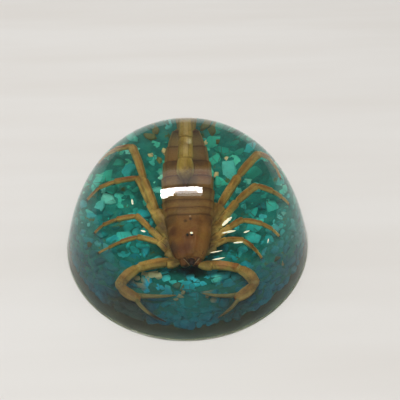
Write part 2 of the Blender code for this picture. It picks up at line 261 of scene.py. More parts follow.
def grow(name, plan, base, values):
    # runs a plan of nodes on a base mesh and keeps the result as a plain mesh piece
    tree = bpy.data.node_groups.get(plan.__name__) or drawTree(plan, values)
    piece = setInScene(name, base)
    modifier = piece.modifiers.new(tree.name, 'NODES')
    modifier.node_group = tree
    for socket in tree.interface.items_tree:
        if socket.name in values:
            modifier[socket.identifier] = values[socket.name]
    graph = bpy.context.evaluated_depsgraph_get()
    result = bpy.data.meshes.new_from_object(piece.evaluated_get(graph), depsgraph=graph)
    piece.modifiers.remove(modifier)
    piece.data = result
    result.name = name
    print(f"  {name}: {len(result.polygons)} faces")
    return piece


# the camera, at the photograph's viewing angle; the distance counts in radii of the dome
viewing = {
    "unit": 0.035, "elevation": 50.2, "distance": 3.827, "yaw": 0.0292, "pitch": -0.0651, "roll": -0.0337,
    "lens": 40.5, "sensor": 36.0, "clip": (0.005, 10),
}


def makeCamera(look):
    rise = radians(look["elevation"])
    lean = rise + look["pitch"]
    ahead = Vector((0, cos(lean), -sin(lean)))
    right = Vector((1, 0, 0))
    above = right.cross(ahead)
    aim = ahead * cos(look["yaw"]) + right * sin(look["yaw"])
    right = right * cos(look["yaw"]) - ahead * sin(look["yaw"])
    across = right * cos(look["roll"]) + above * sin(look["roll"])
    over = above * cos(look["roll"]) - right * sin(look["roll"])
    camera = bpy.data.cameras.new("camera")
    camera.lens, camera.sensor_width = look["lens"], look["sensor"]
    camera.clip_start, camera.clip_end = look["clip"]
    holder = setInScene("camera", camera)
    holder.matrix_world = Matrix((across, over, -aim)).transposed().to_4x4()
    holder.location = Vector((0, -cos(rise), sin(rise))) * look["distance"] * look["unit"]
    bpy.context.scene.camera = holder


makeCamera(viewing)
print("camera placed")

# the clear casting; its haze is a faint yellowing of the cast resin, per metre
casting = {
    "radius": 0.03508, "height": 0.0322, "wallLean": 17.0, "wallPull": 0.0191, "crownPull": 0.0209,
    "footRound": 0.00022, "segments": 224, "wallRings": 88, "footRings": 44, "roundRings": 7,
    "ior": 1.54, "roughness": 0.012, "footRoughness": 0.42, "sandedUpTo": 0.00022,
    "clearness": (0.985, 0.99, 0.965, 1.0), "footTint": (0.78, 0.86, 0.64, 1.0),
    "haze": (222, 224, 178), "hazeDensity": 9.0, "waveScale": 60, "waveBump": (0.05, 0.0007),
    "rubbedScale": 900, "rubbedBump": (0.012, 0.00004),
}


def clearResin(look):
    material, web, place = newFinish("clearCastResin")
    wave = web.relief(web.grain(place, look["waveScale"], 2.0), *look["waveBump"])
    normal = web.relief(web.grain(place, look["rubbedScale"], 4.0, 0.7), *look["rubbedBump"], wave)
    sanded = web.spread(web.parts(place)[2], look["sandedUpTo"] * 1.2, look["sandedUpTo"] * 0.8)
    web.dress(colour=web.mix(sanded, look["clearness"], look["footTint"]), normal=normal, IOR=look["ior"],
              roughness=web.calc(look["roughness"], web.calc(sanded, look["footRoughness"]), 'ADD'),
              **{"Transmission Weight": 1.0})
    yellowing = web.node("VolumeAbsorption", {"Color": look["haze"], "Density": look["hazeDensity"]})
    web.feed(web.tree.nodes["Material Output"].inputs["Volume"], yellowing)
    return material


def wallRadiusAt(look, height):
    foot = Vector((look["radius"], 0, 0))
    lean = radians(look["wallLean"])
    curve = interpolate_bezier(foot, foot + look["wallPull"] * Vector((-sin(lean), cos(lean), 0)),
                               Vector((look["crownPull"], look["height"], 0)), Vector((0, look["height"], 0)), 600)
    return min(curve, key=lambda point: abs(point.y - height)).x


def turnedDome(web, given):
    # a profile of foot, rounded edge and wall, carried round the axis on a grid of rows and columns

    def bezier(start, startHandle, endHandle, end, resolution):
        return web.geo("CurvePrimitiveBezierSegment", {
            "Start": start, "Start Handle": startHandle, "End Handle": endHandle, "End": end,
            "Resolution": resolution})

    footEdge, edgeCorner = web.xyz(given["Foot Radius"]), web.xyz(given["Edge Radius"])
    foot = web.geo("CurvePrimitiveLine", {"Start": web.xyz(), "End": footEdge})
    corner = bezier(footEdge, edgeCorner, edgeCorner, web.xyz(given["Edge Radius"], given["Foot Round"]), 24)
    wall = bezier(web.xyz(given["Radius"]), web.xyz(given["Wall Handle X"], given["Wall Handle Z"]),
                  web.xyz(given["Crown Pull"], given["Height"]), web.xyz(0.0, given["Height"]), 400)
    start = web.calc(given["Foot Round"], web.geo("CurveLength", {0: wall}), 'DIVIDE')
    trimmed = web.geo("TrimCurve", {"Curve": wall, "Start": start, "End": 1.0})
    joined = web.geo("JoinGeometry", None, None)
    for curve, count in ((trimmed, "Wall Rings"), (corner, "Round Rings"), (foot, "Foot Rings")):
        web.feed(joined.inputs[0], web.geo("ResampleCurve", {"Curve": curve, "Count": given[count]}))
    profile = web.geo("CurveToPoints", {"Curve": joined.outputs[0]}, mode='EVALUATED')
    rows = web.calc(web.calc(given["Wall Rings"], given["Foot Rings"], 'ADD'), given["Round Rings"], 'ADD')
    sheet = web.geo("MeshGrid", {"Size X": 1.0, "Size Y": 1.0, "Vertices Y": rows,
                                 "Vertices X": web.calc(given["Segments"], 1.0, 'ADD')})
    index = web.geo("InputIndex")
    column = web.calc(web.calc(web.calc(index, 0.01, 'ADD'), rows, 'DIVIDE'), operation='FLOOR')
    row = web.calc(index, web.calc(column, rows), 'SUBTRACT')
    sampled = web.parts(web.geo("SampleIndex", {"Geometry": profile, "Value": web.geo("InputPosition"),
                                                "Index": row}, data_type='FLOAT_VECTOR'))
    turn = web.calc(web.calc(column, given["Segments"], 'DIVIDE'), tau)
    x, y = (web.calc(sampled[0], web.calc(turn, operation=way)) for way in ('COSINE', 'SINE'))
    turned = web.geo("SetPosition", {"Geometry": sheet, "Position": web.xyz(x, y, sampled[1])})
    return web.geo("SetShadeSmooth", {0: web.geo("MergeByDistance", {"Geometry": turned, "Distance": 1e-6})})


def makeCasting(look):
    lean = radians(look["wallLean"])
    edge = wallRadiusAt(look, look["footRound"])
    piece = grow("clearCasting", turnedDome, bpy.data.meshes.new("castingSeed"), {
        "Radius": look["radius"], "Height": look["height"], "Edge Radius": edge,
        "Foot Radius": edge - look["footRound"], "Foot Round": look["footRound"],
        "Wall Handle X": look["radius"] - look["wallPull"] * sin(lean),
        "Wall Handle Z": look["wallPull"] * cos(lean), "Crown Pull": look["crownPull"],
        "Segments": look["segments"], "Wall Rings": look["wallRings"], "Foot Rings": look["footRings"],
        "Round Rings": look["roundRings"], "Material": clearResin(look)})
    turnOutward(piece.data, 1e-7)
    belongs(piece, "clear_resin", "resin_dome", "resin_base")


makeCasting(casting)
print("casting made")

# the crushed turquoise in broken chips; odd stones and patches in mm, the rest in metres
stones = {
    "cornerReach": (0.82, 1.12), "cornerHeight": (0.85, 1.1), "longer": 0.25,
    "shapes": 11, "shapeCorners": 15, "flatness": 0.5, "seed": 23, "bevel": 0.09, "facetAngle": 16,
    "smoothAngle": 50, "bedRadius": 0.0311, "thickest": 3.0e6,
    # name, height, spacing, chip size, spread, tilt, rise, seed
    "layers": (("chipsLower", 0.00250, 0.00190, 0.00152, 0.30, 0.16, 0.00008, 5),
               ("chipsUpper", 0.00282, 0.00240, 0.00160, 0.42, 0.34, 0.00022, 9)),
    # odd stones that stand out in the bed: place, size, place on the colour scale; the dark one at 0.2, -15.4, under
    # the jaws, is a painted shadow
    "odd": (
        (-6.9, 14.8, 0.6, 0.97), (-4.2, 15.4, 0.8, 0.96), (4.2, 17.2, 0.6, 0.99), (5.1, 17.7, 0.5, 0.98),
        (6.1, 9.8, 0.7, 0.97), (8.0, 13.6, 0.4, 1.0), (-11.0, -15.4, 0.9, 0.97), (-9.3, -14.9, 1.15, 0.99),
        (-7.7, -14.5, 1.2, 0.98), (-6.4, -14.8, 1.1, 0.99), (-8.6, -16.2, 0.8, 0.99), (-3.1, -22.4, 0.7, 0.96),
        (-2.2, -21.4, 0.8, 0.97), (-1.5, -20.4, 0.6, 0.96), (3.6, -21.8, 0.8, 0.95), (4.5, -21.2, 0.8, 0.97),
        (5.4, -22.7, 0.7, 0.95), (-13.4, 20.0, 0.55, 0.97), (16.0, 15.5, 0.5, 0.97), (21.5, -14.0, 0.6, 0.96),
        (-2.6, -18.0, 1.1, 0.88), (-1.3, -18.5, 1.1, 0.9), (5.6, -16.7, 1.2, 0.82), (-5.3, 13.5, 0.7, 0.9),
        (-6.6, 18.7, 0.85, 0.88), (-5.3, 19.9, 0.8, 0.9), (3.9, 20.4, 0.8, 0.9), (5.2, 19.8, 0.8, 0.88),
        (6.2, 17.5, 0.8, 0.88), (-21.0, -6.0, 0.9, 0.87), (19.5, -12.0, 0.9, 0.87), (0.2, -15.4, 1.2, 0.0),
        (-17.2, 3.0, 1.1, 0.0), (10.4, 8.2, 1.2, 0.01), (14.6, 2.6, 1.1, 0.0)),
    "oddHeight": 3.25, "oddTilt": 0.25, "oddSeed": 3,
    "colours": (
        (0.0, 18, 114, 108), (0.16, 32, 150, 140), (0.34, 56, 180, 166), (0.52, 92, 198, 182), (0.68, 34, 168, 176),
        (0.82, 134, 208, 194), (0.86, 96, 102, 62), (0.91, 132, 130, 82), (0.95, 196, 180, 132),
        (1.0, 216, 204, 166)),
    # painted light and shade: the stones are paler round the middle of the bed and darker towards its rim; they are
    # also deeper, bluer towards the head
    "paintedLightMiddle": (0.0, 8.0, 3.0), "paintedLightScale": (0.0285, 0.018, 0.80, 1.56),
    "headward": (0.010, -0.024), "bluer": (14, 134, 176), "bluerShare": 0.68, "headTint": (146, 246, 255),
    "cloud": (120, 205, 190), "cloudScale": 520, "speckle": (60, 130, 120), "speckleScale": 1500,
    "vein": (74, 58, 38), "veinScale": 430, "veinShare": 0.8, "gloss": (0.42, 0.7), "specular": 0.18,
    "cloudShare": 0.4, "cloudBump": (0.4, 0.00016), "speckleShare": 0.25, "speckleBump": (0.35, 0.00008),
    "veinWidth": 0.035,
    # patches of other colour seen in the bed: place, reach, colour, share; the last two, dark under the jaws, are
    # painted shadow
    "patches": (
        ((-8.0, -18.2, 3.3), 3.6, (50, 208, 246), 0.9), ((-4.6, -20.0, 3.3), 3.0, (46, 178, 206), 0.9),
        ((-3.3, -16.4, 3.3), 3.3, (92, 226, 230), 0.9), ((1.8, -17.6, 3.3), 3.8, (80, 220, 240), 0.9),
        ((-0.5, -25.0, 3.0), 8.0, (8, 166, 176), 0.75), ((-15.5, -27.0, 2.6), 8.5, (94, 98, 70), 0.8),
        ((-21.0, -13.0, 3.0), 10.0, (18, 108, 116), 0.55), ((21.0, -12.0, 3.0), 9.0, (44, 122, 136), 0.4),
        ((10.5, -29.0, 2.6), 6.5, (66, 104, 78), 0.6), ((5.5, -16.5, 3.3), 1.5, (112, 232, 226), 0.9),
        ((3.6, -19.8, 3.3), 1.7, (196, 182, 142), 0.75), ((5.0, -23.4, 3.2), 1.2, (186, 176, 138), 0.7),
        ((-10.8, -16.6, 3.3), 1.9, (196, 180, 128), 0.75), ((-10.2, -18.4, 3.3), 1.3, (168, 146, 98), 0.6),
        ((-0.3, -13.6, 3.0), 2.6, (10, 38, 34), 0.8), ((1.5, -13.9, 3.0), 2.4, (26, 46, 34), 0.75)),
}


def turquoiseStone(look):
    material, web, place = newFinish("crushedTurquoise")
    chip = web.marked("chipTint")
    turquoise = web.spread(chip, 0.86, 0.83, 0.15, 1.0)
    headward = web.calc(web.spread(web.parts(place)[1], *look["headward"]), turquoise)
    colour = web.mix(web.calc(headward, look["bluerShare"]), web.ramp(chip, look["colours"]), look["bluer"])
    colour = web.mix(headward, colour, look["headTint"], 'MULTIPLY')
    colour = stained(web, colour, place, look["patches"], only=turquoise)
    # painted light and shade: the colour is scaled up round the middle of the bed and down towards its rim
    level = web.spread(web.away(place, look["paintedLightMiddle"]), *look["paintedLightScale"])
    colour = web.node("VectorMath", {0: colour, "Scale": level}, operation='SCALE')
    cloud = web.grain(place, look["cloudScale"], 4.0, 0.6, 0.4)
    colour = web.mix(web.spread(cloud, 0.35, 0.72, 0.0, look["cloudShare"]), colour, look["cloud"], 'SOFT_LIGHT')
    spots = web.grain(place, look["speckleScale"], 3.0, 0.65)
    speckled = web.spread(spots, 0.52, 0.74, 0.0, look["speckleShare"])
    colour = web.mix(speckled, colour, look["speckle"], 'MULTIPLY')
    room = web.spread(web.grain(place, 170, 2.0), 0.5, 0.62)
    vein = web.spread(web.cells(place, look["veinScale"], 'DISTANCE_TO_EDGE'), look["veinWidth"], 0.0)
    colour = web.mix(web.calc(web.calc(vein, room), look["veinShare"]), colour, look["vein"])
    web.dress(colour=colour, roughness=web.spread(cloud, 0.3, 0.7, *look["gloss"]), specular=look["specular"],
              normal=web.relief(cloud, *look["cloudBump"], web.relief(spots, *look["speckleBump"])))
    return material


def chipShapes(look):
    # broken pebbles: hulls of scattered corners, with their edges worn off a little
    shuffle = random.Random(look["seed"])
    shelf = bpy.data.collections.new("chipShapes")
    for number in range(look["shapes"]):
        shape = bmesh.new()
        for _ in range(look["shapeCorners"]):
            corner = Vector([shuffle.gauss(0, 1) for _ in range(3)]).normalized()
            corner *= shuffle.uniform(*look["cornerReach"])
            corner.z *= look["flatness"] * shuffle.uniform(*look["cornerHeight"])
            corner.x *= 1.0 + look["longer"] * (number % 3)
            shape.verts.new(corner)
        hull = bmesh.ops.convex_hull(shape, input=shape.verts)
        spare = {item for key in ("geom_interior", "geom_unused") for item in hull[key]
                 if isinstance(item, bmesh.types.BMVert)}
        bmesh.ops.delete(shape, geom=list(spare), context='VERTS')
        bmesh.ops.dissolve_limit(shape, angle_limit=radians(look["facetAngle"]), verts=shape.verts,
                                 edges=shape.edges)
        bmesh.ops.bevel(shape, geom=shape.edges[:], offset=look["bevel"], segments=1, affect='EDGES',
                        clamp_overlap=True)
        mesh = bpy.data.meshes.new(f"chipShape{number}")
        shape.to_mesh(mesh)
        shape.free()
        turnOutward(mesh)
        smoothUpTo(mesh, look["smoothAngle"])
        shelf.objects.link(bpy.data.objects.new(mesh.name, mesh))
    return shelf


def tiltedChips(web, given, points, seed, size, hue):
    # a broken pebble at each point, turned and tilted by chance
    shelf = web.geo("CollectionInfo", {"Collection": given["Chip Shapes"], "Separate Children": True,
                                       "Reset Children": True})
    tilt, back = given["Tilt"], web.calc(given["Tilt"], -1.0)
    turns = web.chance(web.xyz(back, back), web.xyz(tilt, tilt, tau), seed, 'FLOAT_VECTOR')
    chips = web.geo("InstanceOnPoints", {"Points": points, "Instance": shelf, "Pick Instance": True,
                                         "Rotation": turns, "Scale": size})
    return web.geo("StoreNamedAttribute", {"Geometry": chips, "Name": "chipTint", "Value": hue},
                   data_type='FLOAT', domain='INSTANCE')


def crushedStoneBed(web, given):
    def salted(salt):
        # each chance has a salt of its own on the layer's seed
        return web.calc(given["Seed"], float(salt), 'ADD')

    disc = web.geo("MeshCircle", {"Vertices": 96, "Radius": given["Bed Radius"]}, fill_type='NGON')
    points = web.geo("DistributePointsOnFaces", {
        "Mesh": disc, "Distance Min": given["Spacing"], "Density Max": given["Thickest"], "Seed": given["Seed"]},
        distribute_method='POISSON')
    rise = web.calc(given["Bed Height"], web.calc(given["Rise"], web.chance(-1.0, 1.0, salted(3))), 'ADD')
    placed = web.geo("SetPosition", {"Geometry": points, "Offset": web.xyz(z=rise)})
    swell = web.calc(1.0, web.calc(given["Size Spread"], web.chance(-1.0, 0.6, salted(11))), 'ADD')
    return tiltedChips(web, given, placed, salted(7), web.calc(given["Chip Size"], swell),
                       web.chance(0.0, 0.83, salted(17)))


def singleStones(web, given):
    # one chip at each given place, with its own size and colour
    return tiltedChips(web, given, given["Geometry"], given["Seed"], web.carried("stoneSize"),
                       web.carried("stoneTint"))


def makeStones(look):
    shared = {"Material": turquoiseStone(look), "Chip Shapes": chipShapes(look)}
    labels = ("Bed Height", "Spacing", "Chip Size", "Size Spread", "Tilt", "Rise", "Seed")
    pieces = [grow(name, crushedStoneBed, bpy.data.meshes.new(name + "Seed"),
                   {"Bed Radius": look["bedRadius"], "Thickest": look["thickest"],
                    **dict(zip(labels, values)), **shared})
              for name, *values in look["layers"]]
    places = linesMesh("oddPlaces", [[(x, y, look["oddHeight"])] for x, y, _, _ in look["odd"]])
    for name, values in (("stoneSize", [row[2] * mm for row in look["odd"]]),
                         ("stoneTint", [row[3] for row in look["odd"]])):
        places.attributes.new(name, 'FLOAT', 'POINT').data.foreach_set("value", values)
    values = {"Tilt": look["oddTilt"], "Seed": look["oddSeed"], **shared}
    pieces.append(grow("oddStones", singleStones, places, values))
    for piece in pieces:
        belongs(piece, "turquoise_chips", "stone_bed")


makeStones(stones)
print("stones laid")

# fine stone dust and resin between the chips, a sheet whose dark teal is partly painted shade in the gaps between
# them; the resin that bonds the underside is an olive yellow
dustAndShade = {
    "radius": 30.9, "rings": 90, "turns": 220, "top": 3.0, "bottom": 1.5, "relief": 0.3, "scale": 0.9,
    "bond": (228, 238, 170), "chipUnder": (116, 206, 158), "front": (26, 98, 90), "gloss": (0.6, 0.9),
    "specular": 0.1, "bump": (0.6, 0.00012), "roughUnder": 0.15, "edgeFall": 10,
    "frontFade": (0.004, -0.026, 0.0, 0.65), "bondFade": (0.0019, 0.0017),
    "colours": (
        (0.3, 18, 120, 116), (0.5, 32, 152, 146), (0.6, 54, 164, 158), (0.68, 98, 130, 86), (0.8, 90, 106, 64)),
    # patches: place, reach, colour, share; the two dark ones under the jaws are painted shadow
    "patches": (
        ((-0.5, -25.0, 3.0), 8.0, (8, 130, 132), 0.75), ((-15.5, -27.0, 2.6), 8.5, (90, 94, 64), 0.8),
        ((10.5, -29.0, 2.6), 6.5, (60, 92, 66), 0.6), ((-0.3, -13.6, 3.0), 2.6, (8, 32, 28), 0.8),
        ((1.5, -13.9, 3.0), 2.4, (20, 40, 30), 0.75)),
}


def stoneDust(look):
    # the dust sheet's finish, its dark teal partly painted shade between the chips
    material, web, place = newFinish("stoneDust")
    spots = web.grain(place, 2600, 3.0, 0.6)
    colour = web.ramp(web.grain(place, 420, 5.0, 0.65), look["colours"])
    sides = web.parts(place)
    colour = web.mix(web.spread(sides[1], *look["frontFade"]), colour, look["front"])
    colour = stained(web, colour, place, look["patches"])
    chips = web.spread(web.cells(place, 380), 0.25, 0.6, 0.55, 0.0)
    under = web.mix(chips, look["bond"], look["chipUnder"])
    colour = web.mix(web.spread(sides[2], *look["bondFade"]), colour, under)
    web.dress(colour=colour, roughness=web.spread(spots, 0.3, 0.7, *look["gloss"]), specular=look["specular"],
              normal=web.relief(spots, *look["bump"]))
    return material


def makeDust(look):
    stock, rings = newStock(), []
    middle = (look["top"] + look["bottom"]) / 2
    steps = range(1, look["rings"] + 1)
    for step, face in [(step, 1) for step in steps] + [(step, -1) for step in reversed(steps)]:
        share = step / look["rings"]
        level, rough = (look["top"], 1.0) if face > 0 else (look["bottom"], look["roughUnder"])
        ring = []
        for _, across, along in turnsOf(look["turns"]):
            x, y = across * share * look["radius"], along * share * look["radius"]
            bump = noise.fractal(Vector((x, y, 5.0 * face)) * look["scale"], 0.8, 2.0, 3) * look["relief"] * rough
            z = middle + (level - middle + bump) * (1 - share ** look["edgeFall"]) + face * 0.05
            ring.append((Vector((x, y, z)), 0.0, 0.0, 0.0))
        rings.append(ring)
    addTube(stock, rings)
    belongs(makePiece("stoneDust", stock, stoneDust(look), 60), "turquoise_chips", "stone_bed")


makeDust(dustAndShade)
print("dust between the chips made")

# finishes of the dried scorpion; patches are those seen on this specimen, some of them painted light and shade:
# place, reach, colour, share
limbFinish = {
    "patchScale": 240, "joint": (164, 84, 26), "jointShare": 0.8, "grain": (104, 62, 20), "grainShare": 0.12,
    "pale": (226, 204, 132), "paleShare": 0.8, "speckle": (160, 116, 60), "shagreen": 2600, "bump": 0.35,
    "gloss": (0.34, 0.52), "specular": 0.35, "soft": 0.15, "softColour": (0.9, 0.5, 0.2), "softDepth": 0.0012,
    "bumpDepth": 0.00006, "fineScale": 3800, "fineBump": (0.3, 0.00004), "raggedness": 1.6,
    "stops": (
        (0.3, 158, 128, 58), (0.48, 208, 174, 88), (0.62, 228, 202, 120), (0.78, 182, 144, 70)),
    # painted shade: the leg roots are dark olive beside the trunk
    "patches": (
        ((0.25, -10.0, 5.0), 7.6, (84, 72, 38), 0.85), ((0.25, -6.0, 5.0), 8.0, (92, 76, 38), 0.85),
        ((0.25, -1.0, 5.0), 8.0, (110, 90, 44), 0.7)),
    # the arms carry a painted highlight above, pale and ruddy, and painted shade below, olive, and are duller at the
    # hands
    "overPatches": (
        ((-7.4, -13.8, 6.5), 2.0, (222, 178, 108), 0.35), ((-7.6, -15.4, 5.0), 1.3, (92, 86, 36), 0.75),
        ((-10.8, -15.6, 4.9), 1.2, (96, 88, 40), 0.6), ((7.2, -15.0, 6.5), 1.6, (212, 152, 106), 0.6),
        ((9.6, -15.6, 6.3), 1.2, (186, 112, 64), 0.6), ((6.0, -16.2, 4.9), 1.2, (96, 84, 44), 0.6),
        ((-15.0, -21.0, 5.2), 3.6, (124, 102, 60), 0.5), ((14.6, -21.4, 5.2), 3.4, (140, 112, 62), 0.4)),
}
backFinish = {
    **limbFinish, "patchScale": 170, "joint": (70, 38, 14), "jointShare": 0.62, "grain": (100, 60, 22),
    "grainShare": 0.4, "pale": (176, 156, 92), "paleShare": 0.85, "speckle": (150, 108, 60), "shagreen": 2100,
    "bump": 0.5, "gloss": (0.32, 0.5), "specular": 0.3, "overPatches": (),
    "stops": (
        (0.3, 108, 70, 28), (0.44, 148, 106, 48), (0.56, 170, 128, 64), (0.72, 148, 86, 38)),
    "patches": (
        ((0.3, -8.5, 8.5), 5.5, (150, 92, 28), 0.4), ((-0.4, -11.2, 8.0), 2.6, (112, 54, 24), 0.75),
        ((-3.4, -7.0, 8.3), 1.5, (92, 44, 18), 0.65), ((2.9, -8.4, 8.6), 1.9, (160, 122, 42), 0.75),
        # the purple grey patch on the left slope of the carapace is painted shade
        ((1.0, -11.9, 7.7), 1.1, (132, 96, 34), 0.65), ((-3.4, -10.3, 7.3), 1.7, (88, 70, 60), 0.65),
        ((-0.1, -8.9, 9.0), 1.1, (88, 52, 38), 0.6), ((-0.45, -5.2, 9.2), 0.5, (62, 38, 16), 0.7),
        ((0.6, -4.75, 9.2), 0.35, (52, 30, 14), 0.8), ((0.55, -4.1, 9.3), 0.3, (220, 190, 150), 0.75),
        ((-3.9, 0.5, 8.4), 2.4, (106, 94, 52), 0.75), ((-3.6, -4.0, 8.5), 1.9, (108, 88, 48), 0.6),
        ((4.4, 1.5, 8.3), 1.6, (124, 106, 62), 0.7), ((3.6, 5.0, 8.9), 2.2, (154, 90, 42), 0.5),
        ((0.2, 1.5, 9.0), 5.5, (168, 132, 84), 0.4), ((2.9, 9.0, 8.4), 2.2, (98, 52, 26), 0.6),
        ((-2.6, 8.8, 8.4), 1.9, (92, 62, 36), 0.6), ((-3.0, 11.8, 8.2), 2.6, (152, 90, 44), 0.55),
        ((3.2, 12.3, 8.2), 2.6, (154, 86, 44), 0.55), ((-1.8, 17.2, 7.6), 2.6, (96, 96, 52), 0.75),
        ((2.4, 16.8, 7.6), 2.2, (94, 84, 48), 0.6), ((0.25, 13.5, 8.6), 6.5, (176, 160, 116), 0.65)),
}
tailFinish = {
    **limbFinish, "patchScale": 260, "joint": (106, 70, 38), "jointShare": 0.9, "grain": (140, 104, 40),
    "grainShare": 0.15, "pale": (222, 196, 120), "speckle": (170, 136, 76), "shagreen": 2300, "bump": 0.45,
    "gloss": (0.3, 0.5), "specular": 0.4, "overPatches": (),
    "stops": (
        (0.3, 158, 130, 50), (0.5, 194, 164, 76), (0.66, 206, 178, 96), (0.8, 174, 138, 60)),
    "patches": (
        # the second patch, near white on the fifth joint, is a painted highlight
        ((0.0, 8.3, 15.3), 1.4, (214, 188, 118), 0.55), ((1.25, 10.9, 16.3), 1.1, (255, 246, 206), 0.95),
        ((-0.2, 2.1, 12.0), 3.5, (112, 78, 46), 0.95)),
}
jawFinish = {
    **limbFinish, "joint": (60, 32, 14), "pale": (206, 178, 132), "paleShare": 0.9, "speckle": (140, 100, 64),
    # the one patch darkens the gap between the jaws, a painted shadow
    "overPatches": (), "patches": (((0.45, -13.6, 6.5), 1.1, (36, 20, 12), 0.9),),
    "stops": (
        (0.3, 104, 66, 30), (0.5, 140, 94, 46), (0.7, 116, 72, 34)),
}
fingerFinish = {
    **limbFinish, "joint": (104, 88, 44), "jointShare": 0.4, "pale": (190, 182, 126), "speckle": (150, 136, 90),
    "patches": (),
    "overPatches": (
        ((-5.8, -31.6, 4.3), 6.0, (40, 32, 16), 0.95), ((6.4, -30.9, 4.4), 4.0, (84, 72, 38), 0.6)),
    "stops": (
        (0.3, 132, 128, 76), (0.5, 166, 160, 104), (0.7, 144, 134, 80)),
}


def cuticle(name, look):
    material, web, place = newFinish(name)
    patches = web.grain(place, look["patchScale"], 3.0, 0.6, 0.3)
    fine = web.grain(place, look["fineScale"], 3.0, 0.6)
    ragged = web.calc(web.calc(patches, 0.5, 'SUBTRACT'), look["raggedness"])
    colour = stained(web, web.ramp(patches, look["stops"]), place, look["patches"], 0.35, ragged)
    for mark in ("joint", "grain", "pale"):
        colour = web.mix(web.calc(web.marked(mark), look[mark + "Share"]), colour, look[mark])
    colour = stained(web, colour, place, look["overPatches"], 0.35, ragged)
    colour = web.mix(web.spread(fine, 0.5, 0.75, 0.0, 0.45), colour, look["speckle"], 'MULTIPLY')
    normal = web.relief(web.cells(place, look["shagreen"]), look["bump"], look["bumpDepth"],
                        web.relief(fine, *look["fineBump"]))
    web.dress(colour=colour, roughness=web.spread(patches, 0.3, 0.7, *look["gloss"]), normal=normal,
              specular=look["specular"], **{"Subsurface Weight": look["soft"], "Subsurface Scale": look["softDepth"],
                                            "Subsurface Radius": look["softColour"]})
    return material


def streaked(name, look, **more):
    # a hard glossy finish with fine streaks
    material, web, place = newFinish(name)
    streak = web.grain(place, look["scale"], look["detail"])
    web.dress(colour=web.ramp(streak, look["stops"]), roughness=web.spread(streak, 0.3, 0.7, *look["gloss"]),
              normal=web.relief(streak, *look["bump"]), **more)
    return material


# horn is for the sting's tip, claws and teeth, glaze for the eyes
hornFinish = {"scale": 1800, "detail": 3.0, "stops": ((0.3, 30, 14, 8), (0.7, 74, 36, 16)), "gloss": (0.25, 0.4),
              "bump": (0.2, 0.00003)}
glazeFinish = {"scale": 2500, "detail": 2.0, "stops": ((0.3, 10, 8, 7), (0.7, 34, 22, 16)), "gloss": (0.06, 0.14),
               "bump": (0.05, 0.00002)}
limbCuticle, fingerCuticle = cuticle("limbCuticle", limbFinish), cuticle("fingerCuticle", fingerFinish)
jawCuticle, backCuticle = cuticle("jawCuticle", jawFinish), cuticle("backCuticle", backFinish)
tailCuticle = cuticle("tailCuticle", tailFinish)
horn, glaze = streaked("darkHorn", hornFinish), streaked("eyeGlaze", glazeFinish, specular=0.9)

# the trunk: carapace, seven overlapping plates above, belly plates below, in mm
trunk = {
    # place along the body, half width, top and underside, from head to tail
    "stations": (
        (-13.1, 2.5, 6.9, 5.0), (-12.5, 2.95, 7.35, 4.6), (-11.0, 3.6, 8.0, 4.2), (-8.2, 4.2, 8.7, 4.1),
        (-4.2, 4.6, 9.1, 4.1), (0.0, 5.15, 9.4, 4.1), (5.6, 5.2, 9.3, 4.1), (11.6, 4.6, 8.9, 4.2),
        (15.6, 3.8, 8.4, 4.4), (18.4, 2.7, 7.7, 4.7), (19.3, 2.0, 7.3, 5.0)),
    "axis": 0.25, "sides": 96, "squareness": 0.85, "waist": 0.42, "pace": 0.16, "carapaceRear": -2.8,
    "plateRears": (-1.2, 0.6, 3.4, 6.5, 10.2, 14.2, 18.4),
    "plateSteps": (0.04, 0.12, 0.22, 0.34, 0.46, 0.58, 0.70, 0.80, 0.88, 0.94, 0.98),
    "edgeBow": 0.85, "lip": 0.042, "tuck": -0.03, "overlap": 0.26, "keelRise": 0.11, "keelWidth": 0.16,
    "keels": (0.0, 0.42, -0.42),
    "rearCap": ((18.5, 0.0), (18.8, -0.05), (19.05, -0.12), (19.25, -0.25)),
    "eyeMound": (0.1, -8.5), "moundRise": 0.62,
}


def smoothStep(low, high, value):
    share = min(max((value - low) / (high - low), 0.0), 1.0)
    return share * share * (3 - 2 * share)


def bell(value, width):
    return exp(-(value / width) ** 2)


def sectionAt(look, place):
    # the body's half width, top and underside at a place, drawn smoothly through the stations
    rows = look["stations"]
    place = min(max(place, rows[0][0]), rows[-1][0])
    spot = next(i for i in range(len(rows) - 1) if place <= rows[i + 1][0])
    first, second = rows[spot], rows[spot + 1]
    before, after = rows[max(spot - 1, 0)], rows[min(spot + 2, len(rows) - 1)]
    length = second[0] - first[0]
    t = (place - first[0]) / length
    values = []
    for a, b, c, d in list(zip(before, first, second, after))[1:]:
        slopeB = (c - a) / max(second[0] - before[0], 1e-6) * length
        slopeC = (d - b) / max(after[0] - first[0], 1e-6) * length
        values.append((2 * t ** 3 - 3 * t ** 2 + 1) * b + (t ** 3 - 2 * t ** 2 + t) * slopeB
                      + (-2 * t ** 3 + 3 * t ** 2) * c + (t ** 3 - t ** 2) * slopeC)
    return values


def carapaceRelief(look, x, y, halfWidth):
    # the eye mound, the furrow along the middle, a hollow at each side, two pairs of keels, a cross furrow
    moundX, moundY = look["eyeMound"]
    lift = look["moundRise"] * exp(-((x - moundX) / 0.62) ** 2 - ((y - moundY) / 0.85) ** 2)
    behind = smoothStep(-7.5, -6.5, y) * smoothStep(-3.4, -4.2, y)
    ahead = smoothStep(-9.5, -10.2, y) * smoothStep(-13.6, -12.8, y)
    lift -= 0.24 * bell(x - moundX, 0.32) * (behind + 0.7 * ahead)
    lift -= 0.26 * bell(abs(x) - 0.58 * halfWidth, 0.7) * bell(y + 7.0, 1.6)
    lift += 0.15 * bell(abs(x) - (0.36 * halfWidth + 0.10 * (y + 8.5)), 0.2) * smoothStep(-13.0, -12.2, y)
    lift += 0.12 * bell(abs(x) - 0.30 * halfWidth, 0.2) * behind
    lift -= 0.18 * bell(y + 5.2, 0.4) * smoothStep(0.2, 0.9, abs(x) / halfWidth)
    return lift


